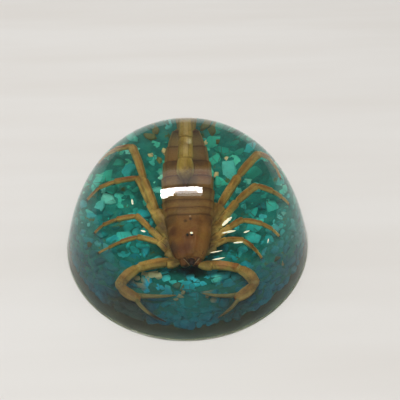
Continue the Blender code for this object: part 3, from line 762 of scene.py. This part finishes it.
def trunkRing(look, y, swell, plateShare, isCarapace, edge):
    halfWidth, top, underside = sectionAt(look, y)
    middle = underside + (top - underside) * look["waist"]
    ring = []
    for _, *turn in turnsOf(look["sides"], 0.5):
        across, rise = (copysign(abs(value) ** look["squareness"], value) for value in turn)
        above, below = smoothStep(-0.02, 0.22, rise), smoothStep(-0.35, -0.6, rise)
        side = 1 - max(above, below)
        grow = 1 + swell * (above + 0.6 * below) - 0.03 * side + 0.014 * cos(y * 9.0 + 3 * rise) * side
        x = halfWidth * grow * across
        z = middle + ((top - middle) if rise > 0 else (middle - underside)) * grow * rise
        back = y
        if rise > 0 and isCarapace:
            z += carapaceRelief(look, x, y, halfWidth) * above
        elif rise > 0:
            keels = sum(bell(x - keel * halfWidth, look["keelWidth"]) for keel in look["keels"])
            z += look["keelRise"] * keels * smoothStep(0.15, 0.8, plateShare) * above
        if rise > 0:
            back -= look["edgeBow"] * (1 - (x / halfWidth) ** 2) * smoothStep(-9.0, -4.0, y) * above
        if isCarapace:
            back += 0.45 * bell(x, 0.9) * smoothStep(-12.2, -13.1, y)
        # a pale strip along each flank, with a dark line inside it
        behindHead = smoothStep(-3.6, -2.4, y) * above
        strip = smoothStep(0.88, 0.96, abs(across)) * behindHead
        line = bell(abs(across) - 0.85, 0.03) * behindHead
        band = smoothStep(0.1, 0.35, plateShare) * smoothStep(0.85, 0.5, plateShare) * above * (not isCarapace)
        ring.append((Vector((x + look["axis"], back, z)),
                     min(edge * above + 0.4 * edge * below + 0.6 * line, 1.0),
                     max(0.9 * side + 0.45 * below, 0.7 * strip, 0.22 * band),
                     above * (0.35 + 0.65 * smoothStep(0.45, 0.9, plateShare))))
    return ring


def makeTrunk(look):
    stock, rear = newStock(), look["carapaceRear"]
    rings = []     # place along the body, swell, share along its plate, whether carapace, how dark its edge is
    y = look["stations"][0][0]
    while y < rear - 0.1:
        edge = smoothStep(rear - 0.45, rear - 0.15, y) + smoothStep(-12.8, -13.05, y) * 0.8
        rings.append((y, 0.02 * smoothStep(-5.0, -3.4, y), 0.2, True, edge))
        y += look["pace"]
    rings += [(rear + 0.05, 0.028, 0.5, True, 1.0), (rear + 0.07, 0.005, 0.5, True, 1.0)]
    for front, rear in zip((rear, *look["plateRears"]), look["plateRears"]):
        rings.append((front - look["overlap"], look["tuck"], 0.0, False, 0.8))
        for share in look["plateSteps"]:
            swell = look["tuck"] + (look["lip"] - look["tuck"]) * share ** 0.8
            edge = max(smoothStep(0.86, 0.98, share), 0.5 * smoothStep(0.14, 0.03, share))
            rings.append((front + (rear - front) * share, swell, share, False, edge))
        rings += [(rear + drop, look["lip"] * share, 0.9, False, 1.0) for drop, share in ((0.02, 0.9), (0.03, 0.4))]
    rings += [(y, swell, 0.0, False, 0.6) for y, swell in look["rearCap"]]
    addTube(stock, [trunkRing(look, *ring) for ring in rings])
    return ofScorpion(makePiece("trunkPlates", stock, backCuticle, 38))


trunkPiece = makeTrunk(trunk)
print("trunk made")


# limbs: every joint is a turned, ridged and slightly bowed body

def profileAt(stops, share):
    for (placeA, a), (placeB, b) in zip(stops, stops[1:]):
        if share <= placeB:
            return a + (b - a) * smoothStep(placeA, placeB, share)
    return stops[-1][1]


def addSweep(stock, centres, girths, look, level=None):
    # a ridged tube along smooth centres, with girths as (half width, half depth), its width kept along level
    rings, last = [], len(centres) - 1
    for index, (centre, (width, depth)) in enumerate(zip(centres, girths)):
        share = index / last
        forward = (centres[min(index + 1, last)] - centres[max(index - 1, 0)]).normalized()
        side = Vector(level) if level else forward.cross(upward)
        side = (side - forward * side.dot(forward)).normalized()
        over = side.cross(forward)
        joint = max(smoothStep(0.10, 0.0, share), smoothStep(look["jointFrom"], 1.0, share))
        teeth = 0.5 + 0.5 * cos(tau * share * look["teeth"])
        ends = smoothStep(0.0, 0.12, share) * smoothStep(1.0, 0.95, share)
        coreShare = look["core"] * smoothStep(0.1, 0.3, share) * smoothStep(0.95, 0.75, share)
        ring = []
        for turn, across, rise in turnsOf(look["sides"]):
            ridge = (0.5 + 0.5 * cos(look["keels"] * turn + look["keelTurn"])) ** look["keelEdge"]
            reach = 1 + look["keelRise"] * (ridge * (0.65 + 0.35 * teeth) - 0.35) * ends
            place = centre + side * width * reach * across + over * depth * reach * rise
            flank = abs(across)
            ring.append((place, max(joint, coreShare * smoothStep(0.8, 0.35, flank)),
                         look["ridgePale"] * smoothStep(0.55, 0.92, flank) * ends, ridge * ends))
        rings.append(ring)
    addTube(stock, rings)


def addBone(stock, start, end, girth, look, level=None, bow=(0, 0, 0)):
    start, end, bow = Vector(start), Vector(end), Vector(bow)
    reach = (end - start).normalized() * look["reach"] * girth[0]
    start, end = start - reach * 0.6, end + reach
    centres, girths = [], []
    for index in range(look["rings"] + 1):
        share = 0.5 - 0.5 * cos(pi * index / look["rings"])     # closer rings at both ends
        centres.append(start.lerp(end, share) + bow * 4 * share * (1 - share))
        swell = profileAt(look["profile"], share)
        girths.append((girth[0] * swell, girth[1] * swell))
    addSweep(stock, centres, girths, look, level)


def addKnuckle(stock, centre, radii, joint=0.3, pale=0.8, sides=14, rows=9):
    # the soft skin that shows between two joints, also used for eyes
    rings = []
    for index in range(1, rows):
        lean = pi * index / rows
        reach, height = sin(lean), radii[2] * cos(lean)
        spots = [Vector((radii[0] * reach * x, radii[1] * reach * y, height)) for _, x, y in turnsOf(sides)]
        rings.append([(Vector(centre) + spot, joint, pale, 0.0) for spot in spots])
    addTube(stock, rings)


def addSpike(stock, root, direction, length, girth, bend=(0, 0, 0), sides=6, rows=4):
    # a small curved thorn, claw or spur
    direction = Vector(direction).normalized()
    aside = direction.orthogonal().normalized()
    beside = direction.cross(aside)
    rings = []
    for share in (index / rows for index in range(rows + 1)):
        centre = Vector(root) + direction * length * share + Vector(bend) * length * share * share
        reach = girth * (1 - share) ** 0.8 + 0.012
        rings.append([(centre + aside * reach * x + beside * reach * y, 0.0, 0.0, 0.0)
                      for _, x, y in turnsOf(sides)])
    addTube(stock, rings)


legJoint = {
    "sides": 18, "rings": 18, "reach": 0.34, "keels": 4, "keelEdge": 1.5, "keelRise": 0.16, "keelTurn": 0.6,
    # ridgePale paints the legs' flanks paler, partly keel colour and partly a painted highlight on their edges
    "teeth": 0, "jointFrom": 0.84, "ridgePale": 0.5, "core": 0.5,
    "profile": ((0.0, 0.30), (0.05, 0.62), (0.16, 0.90), (0.42, 0.98), (0.76, 0.94), (0.90, 1.04), (0.97, 0.86),
                (1.0, 0.45)),
}

legs = {
    "girths": ((1.3, 1.2), (0.8, 0.9), (0.74, 0.85), (0.62, 0.72), (0.48, 0.55), (0.34, 0.38)),
    "shares": (0.8, 0.87, 0.93, 1.0),                 # how stout each pair is, from the head
    "cores": (0.1, 0.25, 0.4, 0.8, 0.45, 0.3),        # how far the orange shows along each joint
    "bow": (0.0, 0.10, 0.22, 0.16, 0.08, 0.10),       # how far each joint arches up, in mm
    "knuckle": 0.82, "claw": (0.75, 0.11), "spur": (0.7, 0.09), "spurSpread": 0.5, "clawBend": 0.45,
    "clawLean": (0.8, 0.55, 0.1),                     # ahead, aside and up
    "spurred": (3, 4),                                # spurs end the shin and the first foot joint
    "joints": {
        "left1": ((-2.4, -11.0, 5.0), (-4.2, -9.9, 5.2), (-5.9, -8.0, 6.0), (-10.1, -6.8, 6.6),
                  (-13.6, -7.1, 5.6), (-16.3, -8.0, 4.8), (-19.0, -9.2, 4.25)),
        "left2": ((-3.0, -8.6, 5.0), (-5.0, -7.2, 5.3), (-7.4, -4.9, 6.4), (-10.1, -1.9, 7.2),
                  (-13.9, -1.5, 6.0), (-16.8, -1.9, 4.9), (-18.9, -3.4, 4.25)),
        "left3": ((-3.2, -6.2, 5.0), (-5.4, -3.2, 5.4), (-7.4, 1.6, 6.2), (-9.5, 7.6, 6.6),
                  (-13.6, 7.9, 5.6), (-16.4, 7.4, 4.8), (-19.4, 5.2, 4.25)),
        "left4": ((-3.0, -5.0, 5.2), (-6.0, -0.6, 6.2), (-8.4, 6.2, 7.6), (-10.5, 14.3, 8.2),
                  (-12.6, 14.8, 6.3), (-14.4, 14.5, 4.9), (-16.0, 13.4, 4.3)),
        "right1": ((2.4, -10.6, 5.0), (4.9, -8.7, 5.2), (7.6, -7.8, 6.0), (11.2, -8.7, 6.6),
                   (13.1, -9.6, 5.4), (14.3, -10.7, 4.8), (15.4, -12.1, 4.25)),
        "right2": ((3.0, -8.4, 5.0), (5.9, -6.4, 5.4), (8.5, -5.1, 6.6), (11.0, -3.8, 7.2),
                   (15.0, -3.9, 6.0), (17.2, -4.6, 4.9), (19.1, -6.2, 4.25)),
        "right3": ((3.2, -6.2, 5.0), (6.2, -3.4, 5.5), (9.8, 0.8, 6.9), (13.9, 4.5, 7.5),
                   (16.8, 4.4, 6.0), (18.8, 3.7, 4.9), (20.9, 2.4, 4.25)),
        "right4": ((3.2, -5.0, 5.2), (6.4, 0.2, 6.4), (10.4, 6.4, 7.6), (14.4, 12.0, 8.2),
                   (16.0, 12.2, 6.3), (17.2, 10.8, 4.9), (18.0, 8.9, 4.3)),
    },
}


def makeLegs(look, jointLook):
    stock, claws = newStock(), newStock()
    spread, (forth, out, up) = look["spurSpread"], look["clawLean"]
    for name, joints in look["joints"].items():
        stout = look["shares"][int(name[-1]) - 1]
        joints = [Vector(joint) for joint in joints]
        for index, (start, end) in enumerate(zip(joints, joints[1:])):
            girth = [half * stout for half in look["girths"][index]]
            addBone(stock, start, end, girth, dict(jointLook, core=look["cores"][index]),
                    bow=(0, 0, look["bow"][index]))
            if index:
                addKnuckle(stock, start, [look["knuckle"] * min(girth)] * 3, joint=0.6, pale=0.2)
            ahead = (end - start).normalized()
            sides = [ahead.cross(upward).normalized() * hand for hand in (-1, 1)]
            for side in sides if index in look["spurred"] else ():
                addSpike(claws, end - upward * girth[1] * spread + side * girth[0] * spread,
                         ahead - upward * spread + side * spread, *look["spur"])
        for side in sides:         # the pair of claws at the tip
            addSpike(claws, end, ahead * forth + side * out + upward * up, *look["claw"],
                     bend=-upward * look["clawBend"])
    piece = ofScorpion(makePiece("legs", stock, limbCuticle))
    ofScorpion(makePiece("legClaws", claws, horn))
    return piece


legPiece = makeLegs(legs, legJoint)
print("legs made")

armJoint = dict(legJoint, core=0.35, sides=28, rings=26, keels=6, keelEdge=2.5, keelRise=0.13, teeth=16, reach=0.36,
                profile=((0.0, 0.34), (0.06, 0.66), (0.2, 0.88), (0.5, 1.0), (0.82, 0.98), (0.93, 1.02), (1.0, 0.5)))
handJoint = dict(armJoint, keels=8, keelEdge=3.0, keelRise=0.07, teeth=0, rings=30,
                 profile=((0.0, 0.36), (0.08, 0.62), (0.3, 0.95), (0.55, 1.03), (0.85, 0.86), (1.0, 0.5)))
rootJoint = dict(armJoint, rings=22, keelRise=0.05, core=0.0, teeth=0,
                 profile=((0.0, 0.5), (0.25, 0.88), (0.65, 1.0), (0.88, 0.92), (1.0, 0.6)))
fingerShape = dict(legJoint, core=0.15, sides=16, keels=5, keelEdge=2.0, keelRise=0.08, teeth=0, jointFrom=0.90)

pincers = {
    "girths": ((1.05, 1.1), (1.3, 1.2), (1.6, 1.25)), "bow": 0.7, "elbow": (1.35, 1.35, 1.15), "middle": (0, -20, 0),
    "fingerGirths": (0.78, 0.66, 0.56, 0.48, 0.38, 0.10), "fingerSteps": 40, "fingerKnuckle": (0.72, 0.72, 0.7),
    "rootGirth": (1.08, 1.02), "knuckle": 0.8, "palm": 0.8, "fingerFlatness": 0.86,
    "toothFrom": 10, "toothReach": 0.93,
    "roots": (((-2.2, -13.3, 5.7), (-4.3, -13.7, 5.7)), ((2.4, -14.3, 5.7), (4.6, -14.8, 5.7))),
    # the joints of each arm, and the bow and the tip of each finger
    "sides": {
        "left": {"arm": ((-2.0, -13.3, 5.7), (-10.3, -14.5, 5.5), (-15.5, -20.1, 5.2), (-11.6, -23.8, 5.1)),
                 "fixed": ((-7.4, -23.3, 4.9), (-3.0, -22.3, 4.6)),
                 "moving": ((-11.9, -28.4, 4.9), (-5.8, -31.6, 4.3))},
        "right": {"arm": ((2.0, -14.5, 5.7), (10.4, -15.9, 5.5), (14.5, -21.0, 5.2), (10.5, -24.9, 5.1)),
                  "fixed": ((6.8, -24.2, 4.9), (2.6, -22.0, 4.6)),
                  "moving": ((10.6, -28.0, 4.9), (6.4, -30.9, 4.4))},
    },
}


def fingerLine(root, bow, tip, steps):
    root, bow, tip = Vector(root), Vector(bow), Vector(tip)
    return interpolate_bezier(root, root.lerp(bow, 0.67), tip.lerp(bow, 0.67), tip, steps)


def outwardBow(start, end, look):
    # an arm joint curves a little away from the space between the two arms
    start, end = Vector(start), Vector(end)
    aside = (end - start).cross(upward).normalized()
    return aside * copysign(look["bow"], aside.dot((start + end) / 2 - Vector(look["middle"])))


def fingerWidths(girths, count):
    widths = []
    for index in range(count):
        spot = index / (count - 1) * (len(girths) - 1)
        low = min(int(spot), len(girths) - 2)
        widths.append(girths[low] + (girths[low + 1] - girths[low]) * (spot - low))
    return widths


def makePincers(look):
    stock, fingers, toothLines = newStock(), newStock(), []
    for side in look["sides"].values():
        arm = side["arm"]
        for index, (start, end) in enumerate(zip(arm, arm[1:])):
            isHand = index == 2
            addBone(stock, start, end, look["girths"][index], handJoint if isHand else armJoint,
                    bow=outwardBow(start, end, look))
            if index:
                size = [look["knuckle"] * min(look["girths"][index])] * 3
                addKnuckle(stock, start, look["elbow"] if isHand else size, sides=24)
        palm = Vector(arm[2]).lerp(Vector(arm[3]), look["palm"])
        lines = [fingerLine(palm, *side[key], look["fingerSteps"]) for key in ("fixed", "moving")]
        widths = fingerWidths(look["fingerGirths"], len(lines[0]))
        for line, other in (lines, lines[::-1]):
            girths = [(width * look["fingerFlatness"], width) for width in widths]
            addSweep(fingers, line, girths, fingerShape)
            # the row of teeth runs along the edge that faces the other finger
            row = []
            for index in range(look["toothFrom"], len(line) - 2):
                ahead = (line[index + 1] - line[index]).normalized()
                inward = other[index] - line[index]
                inward = (inward - ahead * inward.dot(ahead)).normalized()
                row.append(line[index] + inward * widths[index] * look["toothReach"])
            toothLines.append(row)
        addKnuckle(stock, palm + (lines[1][6] - palm) * 0.6, look["fingerKnuckle"], joint=0.7, pale=0.1)
    for start, end in look["roots"]:
        addBone(stock, start, end, look["rootGirth"], rootJoint)
    piece = ofScorpion(makePiece("pincers", stock, limbCuticle))
    ofScorpion(makePiece("pincerFingers", fingers, fingerCuticle))
    return piece, toothLines


pincerPiece, toothLines = makePincers(pincers)
print("pincers made")

# the tail, five keeled joints and the sting, curled over the back
tailJoint = {
    "sides": 60, "rings": 46, "reach": 0.30, "keels": 10, "keelEdge": 4.0, "keelRise": 0.09, "keelTurn": 0.0,
    "teeth": 13, "jointFrom": 0.93, "ridgePale": 0.1, "core": 0.0,
    "profile": ((0.0, 0.42), (0.04, 0.66), (0.12, 0.86), (0.30, 0.93), (0.62, 0.97), (0.88, 1.03), (0.955, 0.99),
                (0.985, 0.80), (1.0, 0.52)),
}
stingShape = dict(tailJoint, sides=36, keels=8, keelEdge=2.0, keelRise=0.04, teeth=0, jointFrom=0.40,
                  ridgePale=0.0)

tail = {
    "joints": ((0.4, 18.0, 6.2), (0.4, 22.4, 8.4), (0.4, 23.0, 13.4), (0.4, 18.2, 16.4), (0.25, 12.5, 15.4),
               (0.0, 7.3, 13.8)),
    "girths": ((2.0, 1.75), (1.85, 1.7), (1.75, 1.65), (1.55, 1.55), (1.65, 1.5)),
    "knuckle": (0.82, 0.8), "stingKnuckle": (1.2, 1.1, 1.1), "stingSteps": 56,
    # place, half width
    "sting": ((-0.05, 7.3, 13.8, 1.35), (-0.1, 6.4, 13.5, 1.66), (-0.12, 5.2, 13.1, 1.8), (-0.15, 3.9, 12.6, 1.72),
              (-0.2, 2.9, 12.2, 1.15), (-0.2, 2.1, 11.8, 0.45), (-0.2, 1.4, 11.1, 0.26), (-0.2, 1.2, 10.3, 0.06)),
}


def smoothLine(points, steps):
    # a curve through the points, with the share along them at each place
    line = []
    spans = len(points) - 1
    for index in range(steps + 1):
        spot = min(index / steps * spans, spans - 1e-9)
        low = int(spot)
        t = spot - low
        p0, p1, p2, p3 = (points[min(max(low + k, 0), spans)] for k in (-1, 0, 1, 2))
        line.append(tuple(0.5 * (2 * b + (c - a) * t + (2 * a - 5 * b + 4 * c - d) * t ** 2
                                 + (3 * b - a - 3 * c + d) * t ** 3) for a, b, c, d in zip(p0, p1, p2, p3)))
    return line


def makeTail(look, jointLook, stingLook):
    stock, joints, (across, deep) = newStock(), look["joints"], look["knuckle"]
    for start, end, (width, depth) in zip(joints, joints[1:], look["girths"]):
        addBone(stock, start, end, (width, depth), jointLook, level=(1, 0, 0))
        addKnuckle(stock, start, (width * across, depth * deep, depth * deep), joint=0.8, pale=0.2, sides=24)
    line = smoothLine(look["sting"], look["stingSteps"])
    addSweep(stock, [Vector(spot[:3]) for spot in line], [(max(spot[3], 0.05),) * 2 for spot in line], stingLook,
             level=(1, 0, 0))
    addKnuckle(stock, joints[-1], look["stingKnuckle"], joint=0.8, pale=0.2, sides=24)
    return ofScorpion(makePiece("tail", stock, tailCuticle))


tailPiece = makeTail(tail, tailJoint, stingShape)
print("tail made")

# jaws and eyes
head = {
    "jaws": (((-0.95, -12.2, 6.1), (-0.7, -14.2, 5.8)), ((1.6, -12.2, 6.1), (1.5, -14.2, 5.8))),
    "jawGirth": (1.05, 0.9),
    # the pale inner edges of the jaws, which meet over the mouth
    "blades": (((-0.95, -13.3, 7.05), (-0.35, -14.1, 6.85), (0.28, -14.75, 6.2)),
               ((2.05, -13.4, 7.0), (1.45, -14.1, 6.85), (0.85, -14.75, 6.2))),
    "bladeTaper": (1.15, 0.75), "toothLean": (-0.4, -0.3), "toothSize": (0.3, 0.08),
    "bladeGirth": 0.23, "bladeSteps": 18, "teethAt": (6, 9, 12, 15), "mouth": (0.55, -13.85, 6.5),
    "mouthSize": (0.75, 1.0, 0.5), "middleEye": 0.27, "sideEye": 0.14,
    "middleEyes": ((-0.12, -8.75, 9.12), (0.78, -8.75, 9.12)),
    "sideEyes": ((-2.15, -12.4, 6.75), (-2.3, -12.0, 6.9), (-2.45, -11.6, 7.0),
                 (2.65, -12.4, 6.75), (2.8, -12.0, 6.9), (2.95, -11.6, 7.0)),
}
jawShape = dict(legJoint, sides=26, rings=20, keels=3, keelEdge=1.5, keelRise=0.05, reach=0.3, ridgePale=0.0,
                core=0.0, profile=((0.0, 0.7), (0.2, 0.95), (0.6, 1.0), (0.85, 0.9), (0.96, 0.66), (1.0, 0.35)))
bladeShape = dict(fingerShape, jointFrom=2.0, ridgePale=1.0, core=0.0)


def makeHead(look):
    stock, teeth, eyes, steps = newStock(), newStock(), newStock(), look["bladeSteps"]
    full, taper = look["bladeTaper"]
    for start, end in look["jaws"]:
        addBone(stock, start, end, look["jawGirth"], jawShape)
    for blade in look["blades"]:
        line = [Vector(spot) for spot in smoothLine(blade, steps)]
        widths = [(look["bladeGirth"] * (full - taper * step / steps),) * 2 for step in range(steps + 1)]
        addSweep(stock, line, widths, bladeShape)
        inward = Vector((look["mouth"][0] - blade[1][0], *look["toothLean"]))
        for index in look["teethAt"]:
            addSpike(teeth, line[index], inward, *look["toothSize"])
    addKnuckle(teeth, look["mouth"], look["mouthSize"], sides=24)
    for kind, sides in (("middleEye", 18), ("sideEye", 12)):
        for place in look[kind + "s"]:
            addKnuckle(eyes, place, (look[kind],) * 3, sides=sides)
    for name, gathered, material in (("jaws", stock, jawCuticle), ("jawTeeth", teeth, horn), ("eyes", eyes, glaze)):
        ofScorpion(makePiece(name, gathered, material))


makeHead(head)
print("head made")

# what repeats on the cuticle: teeth in rows, granules and bristles
combs = (((-0.9, -5.4, 4.0), (-2.0, -4.7, 4.02), (-3.2, -3.6, 4.1), (-4.0, -2.4, 4.25)),
         ((1.3, -5.4, 4.0), (2.4, -4.7, 4.02), (3.5, -3.6, 4.1), (4.3, -2.4, 4.25)))
rows = {     # what they follow, pitch, size, seed
    "fingerTeeth": (toothLines, horn, 0.00024, 0.000085, 4), "combTeeth": (combs, limbCuticle, 0.00036, 0.00015, 6),
}
standing = {     # what they stand on, density, bias of the grain mark, width, length, lean, seed, pointed
    "backGranules": (trunkPiece, backCuticle, 9.0e6, -0.15, 0.000055, 0.00005, 0.0, 2, False),
    "legBristles": (legPiece, horn, 1.6e6, 0.35, 0.000022, 0.00085, 0.5, 3, True),
    "pincerBristles": (pincerPiece, horn, 1.3e6, 0.35, 0.000024, 0.0009, 0.5, 5, True),
    "tailBristles": (tailPiece, horn, 0.35e6, 0.1, 0.000022, 0.0008, 0.4, 8, True),
}


def smoothBead(web):
    return web.geo("SetShadeSmooth", {0: web.geo("MeshIcoSphere", {"Radius": 1.0, "Subdivisions": 2})})


def rowAlongLines(web, given):
    # small bodies set along lines at an even pitch
    curve = web.geo("MeshToCurve", {0: given["Geometry"]})
    dots = web.geo("ResampleCurve", {"Curve": curve, "Length": given["Pitch"]}, mode='LENGTH')
    size = web.calc(given["Size"], web.chance(0.75, 1.2, given["Seed"]))
    return web.geo("InstanceOnPoints", {"Points": dots, "Instance": smoothBead(web), "Scale": size})


def standingOnSurface(web, given):
    # thorns or granules standing on a surface, thickest where its grain mark is strong
    share = web.calc(web.carried("grain"), given["Mark Bias"], 'ADD', True)
    points, _, turn = web.geo("DistributePointsOnFaces", {
        "Mesh": given["Geometry"], "Density": web.calc(given["Density"], share), "Seed": given["Seed"]},
        None, distribute_method='RANDOM').outputs
    hair = web.geo("MeshCone", {"Vertices": 4, "Side Segments": 2, "Radius Top": 0.12, "Radius Bottom": 1.0,
                                "Depth": 1.0}, fill_type='TRIANGLE_FAN')
    kind = web.geo("Switch", {"Switch": given["Pointed"], "False": smoothBead(web),
                              "True": web.geo("SetShadeSmooth", {0: hair})}, input_type='GEOMETRY')
    low, high = web.calc(given["Lean"], -1.0), given["Lean"]
    lean = web.chance(web.xyz(low, low), web.xyz(high, high), web.calc(given["Seed"], 3.0, 'ADD'), 'FLOAT_VECTOR')
    turned = web.put("FunctionNodeRotateRotation", {"Rotation": turn, "Rotate By": lean}, rotation_space='LOCAL')
    length = web.calc(given["Length"], web.chance(0.55, 1.25, given["Seed"]))
    return web.geo("InstanceOnPoints", {"Points": points, "Instance": kind, "Rotation": turned,
                                        "Scale": web.xyz(given["Width"], given["Width"], length)})


def makeRepeats():
    for name, (lines, material, *values) in rows.items():
        values = dict(zip(("Pitch", "Size", "Seed"), values), Material=material)
        ofScorpion(grow(name, rowAlongLines, linesMesh(name + "Lines", lines), values))
    labels = ("Density", "Mark Bias", "Width", "Length", "Lean", "Seed", "Pointed")
    for name, (bearer, material, *values) in standing.items():
        values = dict(zip(labels, values), Material=material)
        ofScorpion(grow(name, standingOnSurface, bearer.data.copy(), values))


makeRepeats()
print("teeth, granules and bristles set")

# slivers of air trapped against the specimen, which glint by total reflection; the glint is a painted reflection, a
# near white colour with a faint glow
slivers = {
    "flatness": 0.35, "ragged": 0.5, "ragScale": 2.2, "steps": 16, "scale": 1400, "detail": 3.0, "gloss": (0.12, 0.3),
    "bump": (0.25, 0.00008), "stops": ((0.3, 236, 232, 214), (0.7, 254, 252, 244)),
    "glint": (255, 246, 222), "glintStrength": 0.5,
    "shape": {"sides": 14, "keels": 2, "keelEdge": 1.0, "keelRise": 0.12, "keelTurn": 0.0, "teeth": 0,
              "jointFrom": 0.9, "ridgePale": 0.0, "core": 0.0},
    # places in mm, half width
    "runs": (
        (((6.9, -4.9, 6.9), (7.9, -3.8, 7.0), (8.9, -2.8, 7.0)), 0.38),
        (((6.8, -6.8, 6.9), (8.3, -6.55, 7.0), (9.7, -6.3, 7.0)), 0.26),
        (((11.3, -6.7, 6.7), (12.6, -6.2, 6.7)), 0.20), (((9.2, -9.5, 6.9), (11.3, -9.4, 6.9)), 0.22),
        (((16.8, -7.8, 5.6), (16.7, -9.1, 5.6)), 0.12),
        (((4.3, -11.7, 6.6), (5.6, -11.45, 6.6), (6.9, -11.2, 6.6)), 0.17),
        (((4.8, -14.0, 6.95), (6.1, -13.8, 6.95), (7.5, -13.5, 6.9)), 0.20),
        (((-10.7, 3.6, 5.6), (-10.6, 2.2, 5.6)), 0.20),
        (((-9.5, -5.3, 6.95), (-9.0, -5.5, 6.95), (-8.5, -5.75, 6.95)), 0.24),
        (((0.62, -8.95, 9.55), (0.84, -8.4, 9.55)), 0.32)),
}


def makeSlivers(look):
    stock = newStock()
    for places, width in look["runs"]:
        centres = [Vector(spot) for spot in smoothLine(places, look["steps"])]
        girths = []
        for index, centre in enumerate(centres):
            swell = max(sin(pi * index / look["steps"]), 0.04) ** 0.75
            swell *= 1 + look["ragged"] * noise.noise(centre * look["ragScale"])
            girths.append((width * swell, width * look["flatness"] * swell))
        addSweep(stock, centres, girths, look["shape"])
    # the white colour and this glow are a painted reflection
    glow = {"Emission Color": look["glint"], "Emission Strength": look["glintStrength"]}
    air = streaked("trappedAir", look, **glow)
    belongs(makePiece("airSlivers", stock, air, 80), "clear_resin", "resin_dome")


makeSlivers(slivers)
print("air slivers made")

# floor and light
studio = {
    "floorSize": 3.0, "floorDrop": 0.0003, "floorColour": (218, 216, 213), "floorShade": (214, 211, 207),
    "floorRoughness": 0.6, "skyTop": 0.44, "skySide": 0.33, "skyColour": (1.0, 0.985, 0.96, 1.0),
    "contrast": 0.85,        # the photograph's own contrast, as the picture's gamma
    "lampHeight": 1.26, "lampAim": 0.02,
    "lamps": {     # place across and along, width, depth, power
        "barLeft": (-0.3525, 0.016, 0.265, 0.152, 3.60), "barMiddle": (-0.015, 0.052, 0.410, 0.100, 3.66),
        "barRight": (0.2375, 0.0165, 0.095, 0.137, 1.16), "barEnd": (-0.42, -0.095, 0.15, 0.09, 0.99),
        "barStep": (-0.29, -0.075, 0.11, 0.05, 0.40), "barFade": (-0.015, -0.028, 0.41, 0.060, 0.72),
        "barFaint": (0.05, -0.093, 0.47, 0.062, 0.36), "softPanel": (0.0, 0.36, 0.90, 0.37, 0.98),
        "softPanelWide": (0.0, 0.37, 0.92, 0.42, 0.42), "softPanelFaint": (0.0, 0.385, 0.94, 0.47, 0.28),
    },
}


def makeFloor(look):
    material, web, place = newFinish("paleTable")
    stretched = web.node("Mapping", {"Vector": place, "Scale": (1.0, 9.0, 1.0)})
    drift = web.spread(web.grain(stretched, 5, 3.0, 0.5), 0.35, 0.65)
    web.dress(colour=web.mix(drift, look["floorColour"], look["floorShade"]), roughness=look["floorRoughness"],
              normal=web.relief(web.grain(place, 400, 3.0), 0.05, 0.0002))
    mesh = bpy.data.meshes.new("floor")
    half = look["floorSize"] / 2
    corners = [(x * half, y * half, -look["floorDrop"]) for x, y in ((-1, -1), (1, -1), (1, 1), (-1, 1))]
    mesh.from_pydata(corners, [], [(0, 1, 2, 3)])
    mesh.materials.append(material)
    setInScene("floor", mesh)


def makeLamps(look):
    for name, (x, y, width, depth, power) in look["lamps"].items():
        lamp = bpy.data.lights.new(name, 'AREA')
        lamp.shape, lamp.size, lamp.size_y, lamp.energy = 'RECTANGLE', width, depth, power
        holder = setInScene(name, lamp)
        # the lamp faces the object, with its long side kept level along X
        place = Vector((x, y, look["lampHeight"]))
        behind = (place - upward * look["lampAim"]).normalized()
        along = (Vector((1, 0, 0)) - behind * behind.x).normalized()
        holder.matrix_world = Matrix((along, behind.cross(along), behind)).transposed().to_4x4()
        holder.location = place


def makeSky(look):
    scene = bpy.context.scene
    scene.world = bpy.data.worlds.new("studio")
    scene.world.use_nodes = True
    web = Web(scene.world.node_tree)
    height = web.parts(web.node("TexCoord", None, "Generated"))[2]
    ground = web.tree.nodes["Background"].inputs
    web.feed(ground["Color"], look["skyColour"])
    web.feed(ground["Strength"], web.spread(height, 0.0, 1.0, look["skySide"], look["skyTop"]))
    scene.view_settings.view_transform, scene.view_settings.gamma = 'Standard', look["contrast"]


makeFloor(studio)
makeLamps(studio)
makeSky(studio)
print("floor and lights set")
